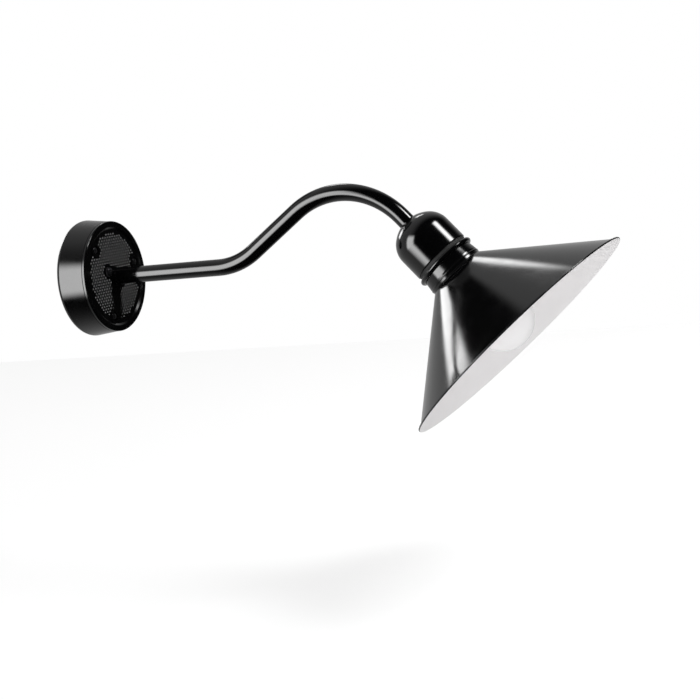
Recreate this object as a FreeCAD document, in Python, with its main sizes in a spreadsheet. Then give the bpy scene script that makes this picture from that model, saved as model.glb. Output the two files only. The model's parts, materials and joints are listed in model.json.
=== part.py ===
import FreeCAD
import Part

import math
import os
from types import SimpleNamespace

import Sketcher
from FreeCAD import Placement, Rotation, Vector

# Gooseneck wall sconce.
# Row frame: the wall is the plane Y = 0, the lamp reaches out towards -Y, +Z is up, and the origin is the
# centre of the wall box's back face. Pieces are drawn about their own Z axis and then placed:
#   wall frame  its Z axis points straight out of the wall, its X axis is the row's X, its Y axis is up
#   head frame  its origin is the far end of the arm tube, its Z axis points where the tube points

SIZES = {
    # Wall box: a cast cup with a foot ring against the wall and three posts for the plate's screws
    "box_rear_radius": 64.5,
    "box_front_radius": 61.2,
    "box_height": 31.6,
    "box_wall": 3.0,
    "box_rear_round": 5.0,
    "foot_width": 8.5,
    "foot_height": 3.0,
    "floor_thickness": 3.0,
    "post_circle_radius": 45.0,
    "post_radius": 5.5,
    "post_angle": 15.0,
    "post_hole_depth": 17.0,
    "rib_thickness": 3.0,
    "wall_slot_spacing": 80.0,
    "wall_slot_width": 5.5,
    "wall_slot_length": 10.0,
    # Cable entry and its grommet
    "entry_radius": 10.0,
    "entry_offset": 30.0,
    "grommet_flange": 2.2,
    "grommet_lip": 1.4,
    "grommet_bore_radius": 4.0,
    # Gasket and front plate
    "gasket_thickness": 0.8,
    "gasket_inset": 0.6,
    "lip_height": 3.2,
    "rim_width": 6.6,
    "rim_slope": 2.0,
    "rim_round": 1.3,
    "field_recess": 1.5,
    "field_thickness": 3.0,
    "plug_clearance": 0.3,
    "pad_radius": 8.0,
    "pad_height": 0.9,
    "counterbore_radius": 4.8,
    "counterbore_depth": 2.4,
    # Screws: shank radius, head radius, head height, length under the head
    "cover_screw_radius": 2.0,
    "cover_head_radius": 3.9,
    "cover_head_height": 2.3,
    "cover_screw_length": 15.0,
    "arm_screw_radius": 2.5,
    "arm_head_radius": 4.4,
    "arm_head_height": 2.8,
    "arm_screw_length": 8.0,
    "arm_screw_circle": 14.8,
    "arm_screw_angle": 155.0,
    "arm_washer_radius": 5.4,
    "arm_washer_thickness": 1.0,
    "arm_pad_radius": 6.6,
    "arm_pad_height": 0.8,
    "hole_clearance": 0.2,
    "thread_clearance": 0.05,
    # Arm: a round tube bent twice, brazed into a flange behind the plate
    "tube_radius": 9.0,
    "tube_wall": 2.0,
    "fit_clearance": 0.05,
    "flange_radius": 22.0,
    "flange_thickness": 4.0,
    "flange_stub": 1.0,
    "first_bend_start": 166.2,
    "first_bend_radius": 78.0,
    "first_bend_angle": 34.3,
    "diagonal_length": 66.8,
    "second_bend_radius": 88.7,
    "second_bend_angle": 83.5,
    "end_length": 9.0,
    # Terminal block, with its brass barrels and screws
    "block_width": 30.0,
    "block_length": 20.0,
    "block_height": 16.0,
    "block_offset": 26.0,
    "pole_pitch": 14.0,
    "barrel_side": 7.0,
    "barrel_length": 17.0,
    "barrel_height": 3.0,
    "barrel_bore_radius": 1.6,
    "barrel_clearance": 0.1,
    "terminal_screw_radius": 1.5,
    "terminal_head_radius": 2.2,
    "terminal_head_height": 1.8,
    "terminal_screw_spacing": 9.0,
    "block_screw_radius": 1.75,
    "block_head_radius": 3.2,
    "block_head_height": 2.0,
    "block_screw_reach": 2.4,
    "block_recess_depth": 6.0,
    # Earth tags, their screws and the lead between them
    "earth_screw_radius": 2.0,
    "earth_head_radius": 3.7,
    "earth_head_height": 2.2,
    "earth_screw_reach": 2.6,
    "tag_radius": 4.2,
    "tag_thickness": 0.8,
    "tag_tail_length": 9.0,
    "tag_tail_width": 3.0,
    "box_earth_circle": 32.8,
    "box_earth_angle": 37.6,
    "flange_earth_circle": 15.0,
    "flange_earth_angle": 65.0,
    "solder_gap": 0.8,
    "earth_overrun": 3.4,
    "earth_sway": 4.7,
    "earth_fall": 11.0,
    "earth_landing": 2.0,
    "earth_bend_radius": 3.5,
    # Leads
    "lead_radius": 1.2,
    "lead_spread": 1.6,
    "lead_run_out": 5.0,
    "lead_rise": 1.0,
    "lead_bend_radius": 6.0,
    "lead_exit": 3.5,
    "lead_splay": 4.5,
    "lead_splay_radius": 4.0,
    # Threaded nipple that joins tube, cap and lampholder
    "nipple_radius": 5.0,
    "nipple_bore_radius": 3.5,
    "nipple_length": 34.0,
    "cap_washer_radius": 12.0,
    "cap_washer_thickness": 1.5,
    "cap_nut_width": 17.0,
    "cap_nut_height": 5.0,
    # Cap: a dome of two tangent arcs over a straight side, with a spigot for the shade
    "cap_radius": 31.15,
    "cap_length": 51.5,
    "cap_wall": 2.2,
    "crown_radius": 34.6,
    "shoulder_radius": 24.0,
    "seat_depth": 2.1,
    "seat_floor": 3.4,
    "seat_boss_radius": 13.0,
    "cap_edge_round": 1.0,
    "spigot_length": 7.0,
    "spigot_wall": 2.0,
    "spigot_clearance": 0.25,
    "spigot_root": 4.0,
    # Shade: a spun neck with a rolled bead, and a straight cone with a rolled rim
    "sheet_thickness": 1.2,
    "neck_top_radius": 29.55,
    "neck_radius": 30.85,
    "neck_swell": 9.8,
    "neck_length": 15.5,
    "bead_circle_radius": 30.85,
    "bead_radius": 2.4,
    "bead_drop": 5.9,
    "neck_bead_radius": 1.1,
    "neck_bead_stand": 0.45,
    "neck_bead_drop": 12.4,
    "shade_rim_radius": 137.0,
    "shade_rim_drop": 161.5,
    "rim_bead_radius": 0.95,
    "seal_gap": 0.1,
    "seal_radius": 29.9,
    # Lampholder
    "holder_drop": 18.0,
    "holder_cap_height": 18.0,
    "holder_radius": 19.8,
    "holder_wall": 2.2,
    "holder_neck_radius": 9.0,
    "holder_neck_height": 4.0,
    "holder_thread_depth": 8.0,
    "skirt_length": 38.2,
    "insert_height": 14.0,
    "insert_clearance": 0.15,
    "shell_bore_radius": 13.45,
    "shell_thickness": 0.5,
    "shell_length": 22.4,
    "holder_pole_radius": 9.5,
    "holder_lead_depth": 3.0,
    "holder_screw_radius": 1.5,
    "holder_head_radius": 2.4,
    "holder_head_height": 1.4,
    "holder_screw_reach": 4.0,
    "holder_screw_circle": 10.7,
    "holder_screw_angle": 28.0,
    "contact_width": 6.0,
    "contact_thickness": 0.5,
    "contact_span": 11.0,
    "contact_foot": 4.5,
    "rivet_length": 3.0,
    "rivet_radius": 1.5,
    "shade_ring_radius": 26.0,
    "shade_ring_height": 6.0,
    "shade_ring_step": 1.5,
    # Lamp with a screw cap
    "lamp_contact_drop": 52.0,
    "lamp_contact_radius": 4.6,
    "lamp_contact_height": 1.4,
    "lamp_insulator_height": 3.0,
    "lamp_insulator_radius": 11.0,
    "lamp_cap_radius": 13.1,
    "lamp_cap_length": 22.0,
    "lamp_cap_flare": 0.9,
    "lamp_cap_wall": 0.4,
    "globe_radius": 32.2,
    "globe_drop": 136.8,
    "glass_wall": 1.0,
    "glass_neck_length": 5.6,
    "stem_tip_radius": 3.0,
    "stem_length": 42.0,
    "filament_span": 9.0,
    "filament_reach": 14.0,
    "filament_inset": 0.3,
    "filament_bend_radius": 1.5,
    "filament_wire_radius": 0.5,
    "running_gap": 0.3,
}


class Size:
    """A number from the sheet or worked out from it, with the expression that ties it to the sheet."""

    def __init__(self, value, text):
        self.value = value
        self.text = text

    def __add__(self, other):
        other = as_size(other)
        return Size(self.value + other.value, "(%s + %s)" % (self.text, other.text))

    def __sub__(self, other):
        other = as_size(other)
        return Size(self.value - other.value, "(%s - %s)" % (self.text, other.text))

    def __mul__(self, other):
        other = as_size(other)
        return Size(self.value * other.value, "(%s * %s)" % (self.text, other.text))

    def __truediv__(self, other):
        other = as_size(other)
        return Size(self.value / other.value, "(%s / %s)" % (self.text, other.text))

    def __neg__(self):
        return Size(-self.value, "(0 - %s)" % self.text)


def as_size(item):
    """A plain number as a Size."""
    if isinstance(item, Size):
        return item
    return Size(float(item), "%g" % item)


def cosine(angle):
    """The cosine of an angle in degrees."""
    angle = as_size(angle)
    return Size(math.cos(math.radians(angle.value)), "cos(%s)" % angle.text)


def sine(angle):
    """The sine of an angle in degrees."""
    angle = as_size(angle)
    return Size(math.sin(math.radians(angle.value)), "sin(%s)" % angle.text)


def tangent(angle):
    """The tangent of an angle in degrees."""
    return sine(angle) / cosine(angle)


def root(item):
    """The square root."""
    return Size(math.sqrt(item.value), "sqrt(%s)" % item.text)


def square(item):
    """The square."""
    return item * item


doc = FreeCAD.newDocument("wall_sconce")
sheet = doc.addObject("Spreadsheet::Sheet", "sizes")
for row, (alias, number) in enumerate(SIZES.items(), start=1):
    sheet.set("A%d" % row, alias)
    sheet.set("B%d" % row, str(number))
    sheet.setAlias("B%d" % row, alias)
doc.recompute()
size = SimpleNamespace(**{alias: Size(float(sheet.get(alias)), "sizes.%s" % alias) for alias in SIZES})

pieces = []


# ---------------------------------------------------------------- drawing helpers

def plane_of(body, role):
    """One of a body's own origin planes or axes."""
    return next(item for item in body.Origin.OriginFeatures if item.Role == role)


def new_sketch(body, name, role, height=None):
    """A sketch on an origin plane of its body, raised along the plane's normal if height is given."""
    sketch = body.newObject("Sketcher::SketchObject", name)
    sketch.AttachmentSupport = [(plane_of(body, role), "")]
    sketch.MapMode = "FlatFace"
    if height is not None:
        sketch.setExpression("AttachmentOffset.Base.z", as_size(height).text)
    return sketch


def pin_point(sketch, edge, end, x, y):
    """Ties a point to its two coordinates; a coordinate that is plain zero lies on the sketch's axis."""
    for kind, axis, coordinate in (("DistanceX", -2, x), ("DistanceY", -1, y)):
        coordinate = as_size(coordinate)
        if coordinate.text == "0":
            sketch.addConstraint(Sketcher.Constraint("PointOnObject", edge, end, axis))
        else:
            number = sketch.addConstraint(Sketcher.Constraint(kind, -1, 1, edge, end, coordinate.value))
            sketch.setExpression("Constraints[%d]" % number, coordinate.text)


def arc_edge(start, end, radius, bulge):
    """The short arc from start to end; it bulges to the right of the way there, or to the left if bulge is -1."""
    chord = end - start
    left = Vector(-chord.y, chord.x, 0).normalize()
    centre = (start + end) * 0.5 + left * bulge * math.sqrt(radius ** 2 - (chord.Length / 2) ** 2)
    begin = math.atan2(start.y - centre.y, start.x - centre.x)
    finish = math.atan2(end.y - centre.y, end.x - centre.x)
    circle = Part.Circle(centre, Vector(0, 0, 1), radius)
    if bulge > 0:
        return Part.ArcOfCircle(circle, begin, finish)
    return Part.ArcOfCircle(circle, finish, begin)


def draw(sketch, points, closed=True):
    """Draws lines and arcs through points: each is (x, y), or (x, y, radius, bulge) where an arc leads to it."""
    spots = [Vector(as_size(point[0]).value, as_size(point[1]).value, 0) for point in points]
    ends = []
    for index in range(0 if closed else 1, len(points)):
        start, end, point = spots[index - 1], spots[index], points[index]
        if len(point) == 2:
            edge = sketch.addGeometry(Part.LineSegment(start, end), False)
            ends.append((edge, 1, 2))
        else:
            radius = as_size(point[2])
            edge = sketch.addGeometry(arc_edge(start, end, radius.value, point[3]), False)
            number = sketch.addConstraint(Sketcher.Constraint("Radius", edge, radius.value))
            sketch.setExpression("Constraints[%d]" % number, radius.text)
            ends.append((edge, 1, 2) if point[3] > 0 else (edge, 2, 1))
        pin_point(sketch, edge, ends[-1][2], point[0], point[1])
    for (edge, _, last), (following, first, _) in zip(ends, ends[1:]):
        sketch.addConstraint(Sketcher.Constraint("Coincident", edge, last, following, first))
    if closed:
        sketch.addConstraint(Sketcher.Constraint("Coincident", ends[-1][0], ends[-1][2], ends[0][0], ends[0][1]))
    else:
        pin_point(sketch, ends[0][0], ends[0][1], points[0][0], points[0][1])
    return sketch


def draw_circle(sketch, x, y, radius):
    """Draws a circle whose centre and radius are tied to the sheet."""
    x, y, radius = as_size(x), as_size(y), as_size(radius)
    edge = sketch.addGeometry(Part.Circle(Vector(x.value, y.value, 0), Vector(0, 0, 1), radius.value), False)
    number = sketch.addConstraint(Sketcher.Constraint("Radius", edge, radius.value))
    sketch.setExpression("Constraints[%d]" % number, radius.text)
    pin_point(sketch, edge, 3, x, y)
    return sketch


def rectangle(left, low, right, high):
    """The corners of an upright rectangle."""
    return [(left, low), (right, low), (right, high), (left, high)]


# ---------------------------------------------------------------- placing helpers

class Frame:
    """A frame whose Z axis lies in the row's YZ plane: where it starts and how far it is turned about X."""

    def __init__(self, out, up, tilt):
        self.out = out
        self.up = up
        self.tilt = tilt

    def place(self, item, x=0, y=0, z=0):
        """Puts an object at a point of this frame, with its placement tied to the sheet."""
        x, y, z = as_size(x), as_size(y), as_size(z)
        across = cosine(self.tilt)
        along = sine(self.tilt)
        base = (x, y * across - z * along - self.out, y * along + z * across + self.up)
        item.Placement = Placement(Vector(*[part.value for part in base]),
                                   Rotation(Vector(1, 0, 0), as_size(self.tilt).value))
        for axis, part in zip("xyz", base):
            item.setExpression("Placement.Base.%s" % axis, part.text)
        item.setExpression("Placement.Rotation.Angle", as_size(self.tilt).text)

    def point(self, x, y, z):
        """A point of this frame in the row frame."""
        across = math.cos(math.radians(as_size(self.tilt).value))
        along = math.sin(math.radians(as_size(self.tilt).value))
        x, y, z = (as_size(part).value for part in (x, y, z))
        return Vector(x, y * across - z * along - as_size(self.out).value,
                      y * along + z * across + as_size(self.up).value)


def new_body(name):
    """An empty body that becomes the piece of that name."""
    body = doc.addObject("PartDesign::Body", name)
    body.Label = name
    pieces.append(body)
    return body


def feature(body, kind, name, profile, **values):
    """A feature of a body made from a sketch; a value that is a Size is tied to the sheet."""
    item = body.newObject("PartDesign::" + kind, name)
    item.Profile = profile
    for key, value in values.items():
        if isinstance(value, Size):
            item.setExpression(key, value.text)
        else:
            setattr(item, key, value)
    profile.Visibility = False
    return item


def turn(body, points, name="Turned", centre=None, angle=None):
    """Revolves a half section about the body's Z axis, or about a parallel axis centre away at an angle."""
    sketch = new_sketch(body, name + "Section", "XZ_Plane")
    if angle is not None:
        sketch.AttachmentOffset = Placement(Vector(), Rotation(Vector(0, 1, 0), as_size(angle).value))
        sketch.setExpression("AttachmentOffset.Rotation.Angle", as_size(angle).text)
    draw(sketch, points)
    axis = "V_Axis"
    if centre is not None:
        line = Part.LineSegment(Vector(centre.value, 0, 0), Vector(centre.value, 1, 0))
        edge = sketch.addGeometry(line, True)
        pin_point(sketch, edge, 1, centre, 0)
        pin_point(sketch, edge, 2, centre, 1)
        axis = "Axis0"
    return feature(body, "Revolution", name, sketch, ReferenceAxis=(sketch, [axis]), Angle=360.0)


def turn_circle(body, name, distance, height, radius):
    """Revolves a circle about the body's Z axis, as a rolled bead."""
    sketch = draw_circle(new_sketch(body, name + "Section", "XZ_Plane"), distance, height, radius)
    return feature(body, "Revolution", name, sketch, ReferenceAxis=(sketch, ["V_Axis"]), Angle=360.0)


def circles(body, name, spots, radius, height=None):
    """A sketch with a circle round each spot."""
    sketch = new_sketch(body, name + "Circles", "XY_Plane", height)
    for x, y in spots:
        draw_circle(sketch, x, y, radius)
    return sketch


def bore(body, name, spots, radius):
    """Round holes right through a body, along its Z axis."""
    return feature(body, "Pocket", name, circles(body, name, spots, radius), Type=1, Midplane=True)


def blind(body, name, spots, radius, low, depth):
    """Round holes that are cut upwards from the height low, over the given depth."""
    return feature(body, "Pocket", name, circles(body, name, spots, radius, low), Length=depth, Reversed=True)


def stud(body, name, spots, radius, low, height):
    """Round posts that stand on the height low."""
    return feature(body, "Pad", name, circles(body, name, spots, radius, low), Length=height)


def repeat(body, name, originals, count):
    """Copies features evenly round the body's Z axis."""
    pattern = body.newObject("PartDesign::PolarPattern", name)
    pattern.Originals = originals
    pattern.Axis = (plane_of(body, "Z_Axis"), [""])
    pattern.Angle = 360.0
    pattern.Occurrences = count
    body.Tip = pattern
    return pattern


def screw_section(centre, seat, way, shank, reach, head, rise):
    """Half section of a round-headed screw seated at a height; its head is above the seat, or below if way is -1."""
    crown = rise / 2
    tip = seat - reach * way
    top = seat + rise * way
    return [
        (centre, tip),
        (centre + shank, tip),
        (centre + shank, seat),
        (centre + head, seat),
        (centre + head, top - crown * way),
        (centre + head - crown, top, crown, way),
        (centre, top),
    ]


def solid_piece(name, shape):
    """A piece whose shape is made from the sheet's values without a feature tree."""
    item = doc.addObject("Part::Feature", name)
    item.Label = name
    item.Shape = shape
    item.Placement = Placement()
    pieces.append(item)
    return item


def rounded_path(points, radii):
    """Straight runs between points, joined by tangent arcs of the given radii at the inner points."""
    edges = []
    start = points[0]
    for before, corner, after, radius in zip(points, points[1:], points[2:], radii):
        back = (before - corner).normalize()
        ahead = (after - corner).normalize()
        half = back.getAngle(ahead) / 2
        reach = radius / math.tan(half)
        first = corner + back * reach
        last = corner + ahead * reach
        inward = (back + ahead).normalize()
        middle = corner + inward * (radius / math.sin(half) - radius)
        edges.append(Part.LineSegment(start, first).toShape())
        edges.append(Part.Arc(first, middle, last).toShape())
        start = last
    edges.append(Part.LineSegment(start, points[-1]).toShape())
    return Part.Wire(edges)


def wire_solid(path, radius):
    """A round wire of one radius along a path, as one solid; its volume is its section times its length."""
    start = path.Vertexes[0].Point
    heading = path.Edges[0].tangentAt(path.Edges[0].FirstParameter)
    ring = Part.Wire([Part.Circle(start, heading, radius).toShape()])
    solid = path.makePipeShell([ring], True, False)
    expected = math.pi * radius ** 2 * path.Length
    if abs(solid.Volume - expected) > 0.01 * expected:
        raise RuntimeError("a wire's volume is %.1f, not %.1f" % (solid.Volume, expected))
    return solid


# ---------------------------------------------------------------- shared heights and frames

wall = Frame(0, 0, 90)

floor_back = size.foot_height
floor_front = floor_back + size.floor_thickness
box_bore_radius = size.box_front_radius - size.box_wall
lip_back = size.box_height + size.gasket_thickness
rim_top = lip_back + size.lip_height
field_front = rim_top - size.field_recess
field_back = field_front - size.field_thickness
field_radius = size.box_front_radius - size.rim_width - size.rim_slope
flange_back = field_back - size.flange_thickness
tube_start = flange_back - size.flange_stub

head_tilt = Size(90.0, "90") - size.first_bend_angle + size.second_bend_angle
first_setback = size.first_bend_radius * tangent(size.first_bend_angle / 2)
second_setback = size.second_bend_radius * tangent(size.second_bend_angle / 2)
rise = size.first_bend_angle
fall = size.second_bend_angle - size.first_bend_angle
corner_one = size.first_bend_start + first_setback
span = first_setback + size.diagonal_length + second_setback
corner_two_out = corner_one + span * cosine(rise)
corner_two_up = span * sine(rise)
last_run = second_setback + size.end_length
tube_end_out = corner_two_out + last_run * cosine(fall)
tube_end_up = corner_two_up - last_run * sine(fall)
head = Frame(tube_end_out, tube_end_up, head_tilt)

post_x = size.post_circle_radius * cosine(size.post_angle)
post_y = size.post_circle_radius * sine(size.post_angle)
arm_screw_x = size.arm_screw_circle * cosine(size.arm_screw_angle)
arm_screw_y = size.arm_screw_circle * sine(size.arm_screw_angle)
tube_bore = size.tube_radius + size.fit_clearance


# ---------------------------------------------------------------- wall box and front plate

def make_wall_box():
    """A cast cup with a foot ring, three screw posts with ribs, two wall slots and a cable entry."""
    body = new_body("wall_box")
    wall.place(body)
    turn(body, [
        (0, floor_back),
        (size.box_rear_radius - size.foot_width, floor_back),
        (size.box_rear_radius - size.foot_width, 0),
        (size.box_rear_radius - size.box_rear_round, 0),
        (size.box_rear_radius, size.box_rear_round, size.box_rear_round, 1),
        (size.box_front_radius, size.box_height),
        (box_bore_radius, size.box_height),
        (box_bore_radius, floor_front),
        (0, floor_front),
    ], "Cup")
    post = stud(body, "Post", [(post_x, post_y)], size.post_radius, floor_back, field_back - floor_back)
    repeat(body, "Posts", [post], 3)
    rib_plan = new_sketch(body, "RibPlan", "XY_Plane", floor_back)
    half = size.rib_thickness / 2
    reach = box_bore_radius + size.box_wall / 2
    across = cosine(size.post_angle)
    along = sine(size.post_angle)
    corners = rectangle(size.post_circle_radius, -half, reach, half)
    draw(rib_plan, [(x * across - y * along, x * along + y * across) for x, y in corners])
    rib_height = size.box_height - floor_back - size.rib_thickness
    rib = feature(body, "Pad", "Rib", rib_plan, Length=rib_height)
    repeat(body, "Ribs", [rib], 3)
    hole = blind(body, "PostHole", [(post_x, post_y)], size.cover_screw_radius + size.thread_clearance,
                 field_back - size.post_hole_depth, size.post_hole_depth)
    repeat(body, "PostHoles", [hole], 3)
    bore(body, "Entry", [(0, size.entry_offset)], size.entry_radius)
    half_width = size.wall_slot_width / 2
    straight = (size.wall_slot_length - size.wall_slot_width) / 2
    for name, side in (("LeftSlot", -1), ("RightSlot", 1)):
        left = size.wall_slot_spacing * side / 2 - straight
        right = size.wall_slot_spacing * side / 2 + straight
        plan = new_sketch(body, name + "Plan", "XY_Plane")
        draw(plan, [
            (right, -half_width),
            (right + half_width, 0, half_width, 1),
            (right, half_width, half_width, 1),
            (left, half_width),
            (left - half_width, 0, half_width, 1),
            (left, -half_width, half_width, 1),
        ])
        feature(body, "Pocket", name, plan, Type=1, Midplane=True)
    bore(body, "BlockScrewHole", [(0, -size.block_offset)], size.block_screw_radius + size.thread_clearance)
    bore(body, "EarthScrewHole", [(box_earth_x, box_earth_y)], size.earth_screw_radius + size.thread_clearance)


def make_cable_grommet():
    """A rubber ring gripped by the cable entry, with a flange behind the floor and a lip in front of it."""
    body = new_body("cable_grommet")
    wall.place(body, 0, size.entry_offset, 0)
    seat_radius = size.entry_radius - size.fit_clearance
    back_radius = size.entry_radius + size.grommet_flange
    lip_radius = size.entry_radius + size.grommet_lip
    turn(body, [
        (size.grommet_bore_radius, floor_back - size.grommet_flange),
        (back_radius, floor_back - size.grommet_flange),
        (back_radius, floor_back),
        (seat_radius, floor_back),
        (seat_radius, floor_front),
        (lip_radius, floor_front),
        (lip_radius - size.grommet_lip, floor_front + size.grommet_lip, size.grommet_lip, 1),
        (size.grommet_bore_radius, floor_front + size.grommet_lip),
    ])


def make_cover_gasket():
    """The flat ring that shows as a dark line between the wall box and its front plate."""
    body = new_body("cover_gasket")
    wall.place(body)
    inner = box_bore_radius + size.fit_clearance
    outer = size.box_front_radius - size.gasket_inset
    turn(body, rectangle(inner, size.box_height, outer, lip_back))


def make_front_plate():
    """A cast plate with a raised rim, a recessed field, three screw pads and two pads beside the arm."""
    body = new_body("front_plate")
    wall.place(body)
    plug_radius = box_bore_radius - size.plug_clearance
    outer = size.box_front_radius
    turn(body, [
        (0, field_back),
        (plug_radius, field_back),
        (plug_radius, lip_back),
        (outer, lip_back),
        (outer, rim_top - size.rim_round),
        (outer - size.rim_round, rim_top, size.rim_round, 1),
        (outer - size.rim_width, rim_top),
        (field_radius, field_front),
        (0, field_front),
    ], "Disc")
    pad = stud(body, "Pad", [(post_x, post_y)], size.pad_radius, field_back,
               size.field_thickness + size.pad_height)
    repeat(body, "Pads", [pad], 3)
    recess = blind(body, "Recess", [(post_x, post_y)], size.counterbore_radius, cover_seat,
                   size.counterbore_depth)
    repeat(body, "Recesses", [recess], 3)
    hole = bore(body, "ScrewHole", [(post_x, post_y)], size.cover_screw_radius + size.hole_clearance)
    repeat(body, "ScrewHoles", [hole], 3)
    arm_pad = stud(body, "ArmPad", [(arm_screw_x, arm_screw_y)], size.arm_pad_radius, field_back,
                   size.field_thickness + size.arm_pad_height)
    repeat(body, "ArmPads", [arm_pad], 2)
    arm_hole = bore(body, "ArmScrewHole", [(arm_screw_x, arm_screw_y)],
                    size.arm_screw_radius + size.hole_clearance)
    repeat(body, "ArmScrewHoles", [arm_hole], 2)
    bore(body, "ArmHole", [(0, 0)], tube_bore)


def make_screw_ring(name, frame, count, circle, angle, seat, way, shank, reach, head_radius, head_height):
    """Round-headed screws spread evenly round a frame's axis, as one node of separate solids."""
    body = new_body(name)
    frame.place(body)
    section = screw_section(circle, seat, way, shank, reach, head_radius, head_height)
    first = turn(body, section, "Screw", circle, angle)
    repeat(body, "Screws", [first], count)


def make_arm_washers():
    """The plain washers under the two screws beside the arm."""
    body = new_body("arm_washers")
    wall.place(body)
    low = field_front + size.arm_pad_height
    plan = circles(body, "Washer", [(arm_screw_x, arm_screw_y)], size.arm_washer_radius, low)
    draw_circle(plan, arm_screw_x, arm_screw_y, size.arm_screw_radius + size.hole_clearance)
    washer = feature(body, "Pad", "Washer", plan, Length=size.arm_washer_thickness)
    repeat(body, "Washers", [washer], 2)


# ---------------------------------------------------------------- wiring in the wall box

def make_terminal_block():
    """A moulded two-pole block with a channel for each barrel, screw holes above and a fixing hole."""
    body = new_body("terminal_block")
    wall.place(body)
    plan = new_sketch(body, "BlockPlan", "XY_Plane", floor_front)
    half_width = size.block_width / 2
    low = -size.block_offset - size.block_length / 2
    high = -size.block_offset + size.block_length / 2
    draw(plan, rectangle(-half_width, low, half_width, high))
    feature(body, "Pad", "Block", plan, Length=size.block_height)
    for name, side in (("LeftChannel", -1), ("RightChannel", 1)):
        end = new_sketch(body, name + "End", "XZ_Plane")
        middle = size.pole_pitch * side / 2
        half = size.barrel_side / 2 + size.barrel_clearance
        draw(end, rectangle(middle - half, barrel_low, middle + half,
                            barrel_low + size.barrel_side + size.barrel_clearance))
        feature(body, "Pocket", name, end, Type=1, Midplane=True)
    access = size.terminal_head_radius + size.hole_clearance
    blind(body, "ScrewAccess", terminal_spots, access, barrel_top, block_top - barrel_top)
    bore(body, "FixingHole", [(0, -size.block_offset)], size.block_screw_radius + size.hole_clearance)
    blind(body, "FixingRecess", [(0, -size.block_offset)], size.block_head_radius + size.hole_clearance,
          block_top - size.block_recess_depth, size.block_recess_depth)


def make_terminal_barrels():
    """Two square brass barrels with a wire bore each and two screw holes from above."""
    body = new_body("terminal_barrels")
    wall.place(body)
    start = size.block_offset - size.barrel_length / 2
    ends = new_sketch(body, "BarrelEnds", "XZ_Plane", start)
    for side in (-1, 1):
        middle = size.pole_pitch * side / 2
        half = size.barrel_side / 2
        draw(ends, rectangle(middle - half, barrel_low, middle + half, barrel_top))
        draw_circle(ends, middle, barrel_axis, size.barrel_bore_radius)
    feature(body, "Pad", "Barrels", ends, Length=size.barrel_length)
    blind(body, "ScrewHoles", terminal_spots, size.terminal_screw_radius + size.thread_clearance,
          barrel_axis, barrel_top - barrel_axis)


def make_terminal_screws():
    """Four cheese-head screws, two over each barrel; their tips reach down to the leads."""
    body = new_body("terminal_screws")
    wall.place(body)
    tip = barrel_axis + size.lead_radius + size.fit_clearance
    head_seat = barrel_top + size.terminal_head_height / 2
    stud(body, "Shanks", terminal_spots, size.terminal_screw_radius, tip, head_seat - tip)
    stud(body, "Heads", terminal_spots, size.terminal_head_radius, head_seat, size.terminal_head_height)


def make_block_screw():
    """The screw that holds the terminal block to the floor of the box."""
    body = new_body("block_screw")
    wall.place(body, 0, -size.block_offset, 0)
    seat = block_top - size.block_recess_depth
    reach = seat - floor_front + size.block_screw_reach
    section = screw_section(Size(0.0, "0"), seat, 1, size.block_screw_radius, reach,
                            size.block_head_radius, size.block_head_height)
    turn(body, [(0, section[0][1])] + section[1:-1] + [(0, section[-1][1])])


def make_earth_tags():
    """Two ring tags with tails: one on the floor of the box, one on the back of the arm's flange."""
    body = new_body("earth_tags")
    wall.place(body)
    bore_radius = size.earth_screw_radius + size.hole_clearance
    half = size.tag_tail_width / 2
    for name, x, y, low in (
        ("BoxTag", box_earth_x, box_earth_y, floor_front),
        ("FlangeTag", flange_earth_x, flange_earth_y, flange_back - size.tag_thickness),
    ):
        stud(body, name, [(x, y)], size.tag_radius, low, size.tag_thickness)
        tail = new_sketch(body, name + "Tail", "XY_Plane", low)
        if name == "BoxTag":
            draw(tail, rectangle(x - size.tag_tail_length, y - half, x - bore_radius, y + half))
        else:
            draw(tail, rectangle(x - half, y + bore_radius, x + half, y + size.tag_tail_length))
        feature(body, "Pad", name + "Strip", tail, Length=size.tag_thickness)
    bore(body, "TagHoles", [(box_earth_x, box_earth_y), (flange_earth_x, flange_earth_y)], bore_radius)


def make_earth_screws():
    """Two round-headed screws: one into the floor of the box, one into the back of the arm's flange."""
    body = new_body("earth_screws")
    wall.place(body)
    for name, circle, angle, seat, way in (
        ("BoxScrew", size.box_earth_circle, size.box_earth_angle, floor_front + size.tag_thickness, 1),
        ("FlangeScrew", size.flange_earth_circle, size.flange_earth_angle, flange_back - size.tag_thickness, -1),
    ):
        section = screw_section(circle, seat, way, size.earth_screw_radius, size.earth_screw_reach,
                                size.earth_head_radius, size.earth_head_height)
        turn(body, section, name, circle, angle)


def make_earth_lead():
    """The short lead from the flange's tag to the box's tag, soldered on top of both tails."""
    stand = size.lead_radius + size.fit_clearance
    low = floor_front + size.tag_thickness + stand
    high = flange_back - size.tag_thickness - stand
    start = size.earth_head_radius + size.solder_gap
    past_tail = size.tag_tail_length + size.earth_overrun
    points = [
        (flange_earth_x, flange_earth_y + start, high),
        (flange_earth_x, flange_earth_y + past_tail, high),
        (flange_earth_x + size.earth_sway, flange_earth_y + past_tail, high - size.earth_fall),
        (box_earth_x - size.tag_tail_length - size.earth_landing, box_earth_y, low),
        (box_earth_x - start, box_earth_y, low),
    ]
    path = rounded_path([wall.point(*point) for point in points], [size.earth_bend_radius.value] * 3)
    print("earth lead: %.0f mm long" % path.Length)
    solid_piece("earth_lead", wire_solid(path, size.lead_radius.value))


# ---------------------------------------------------------------- arm

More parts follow.
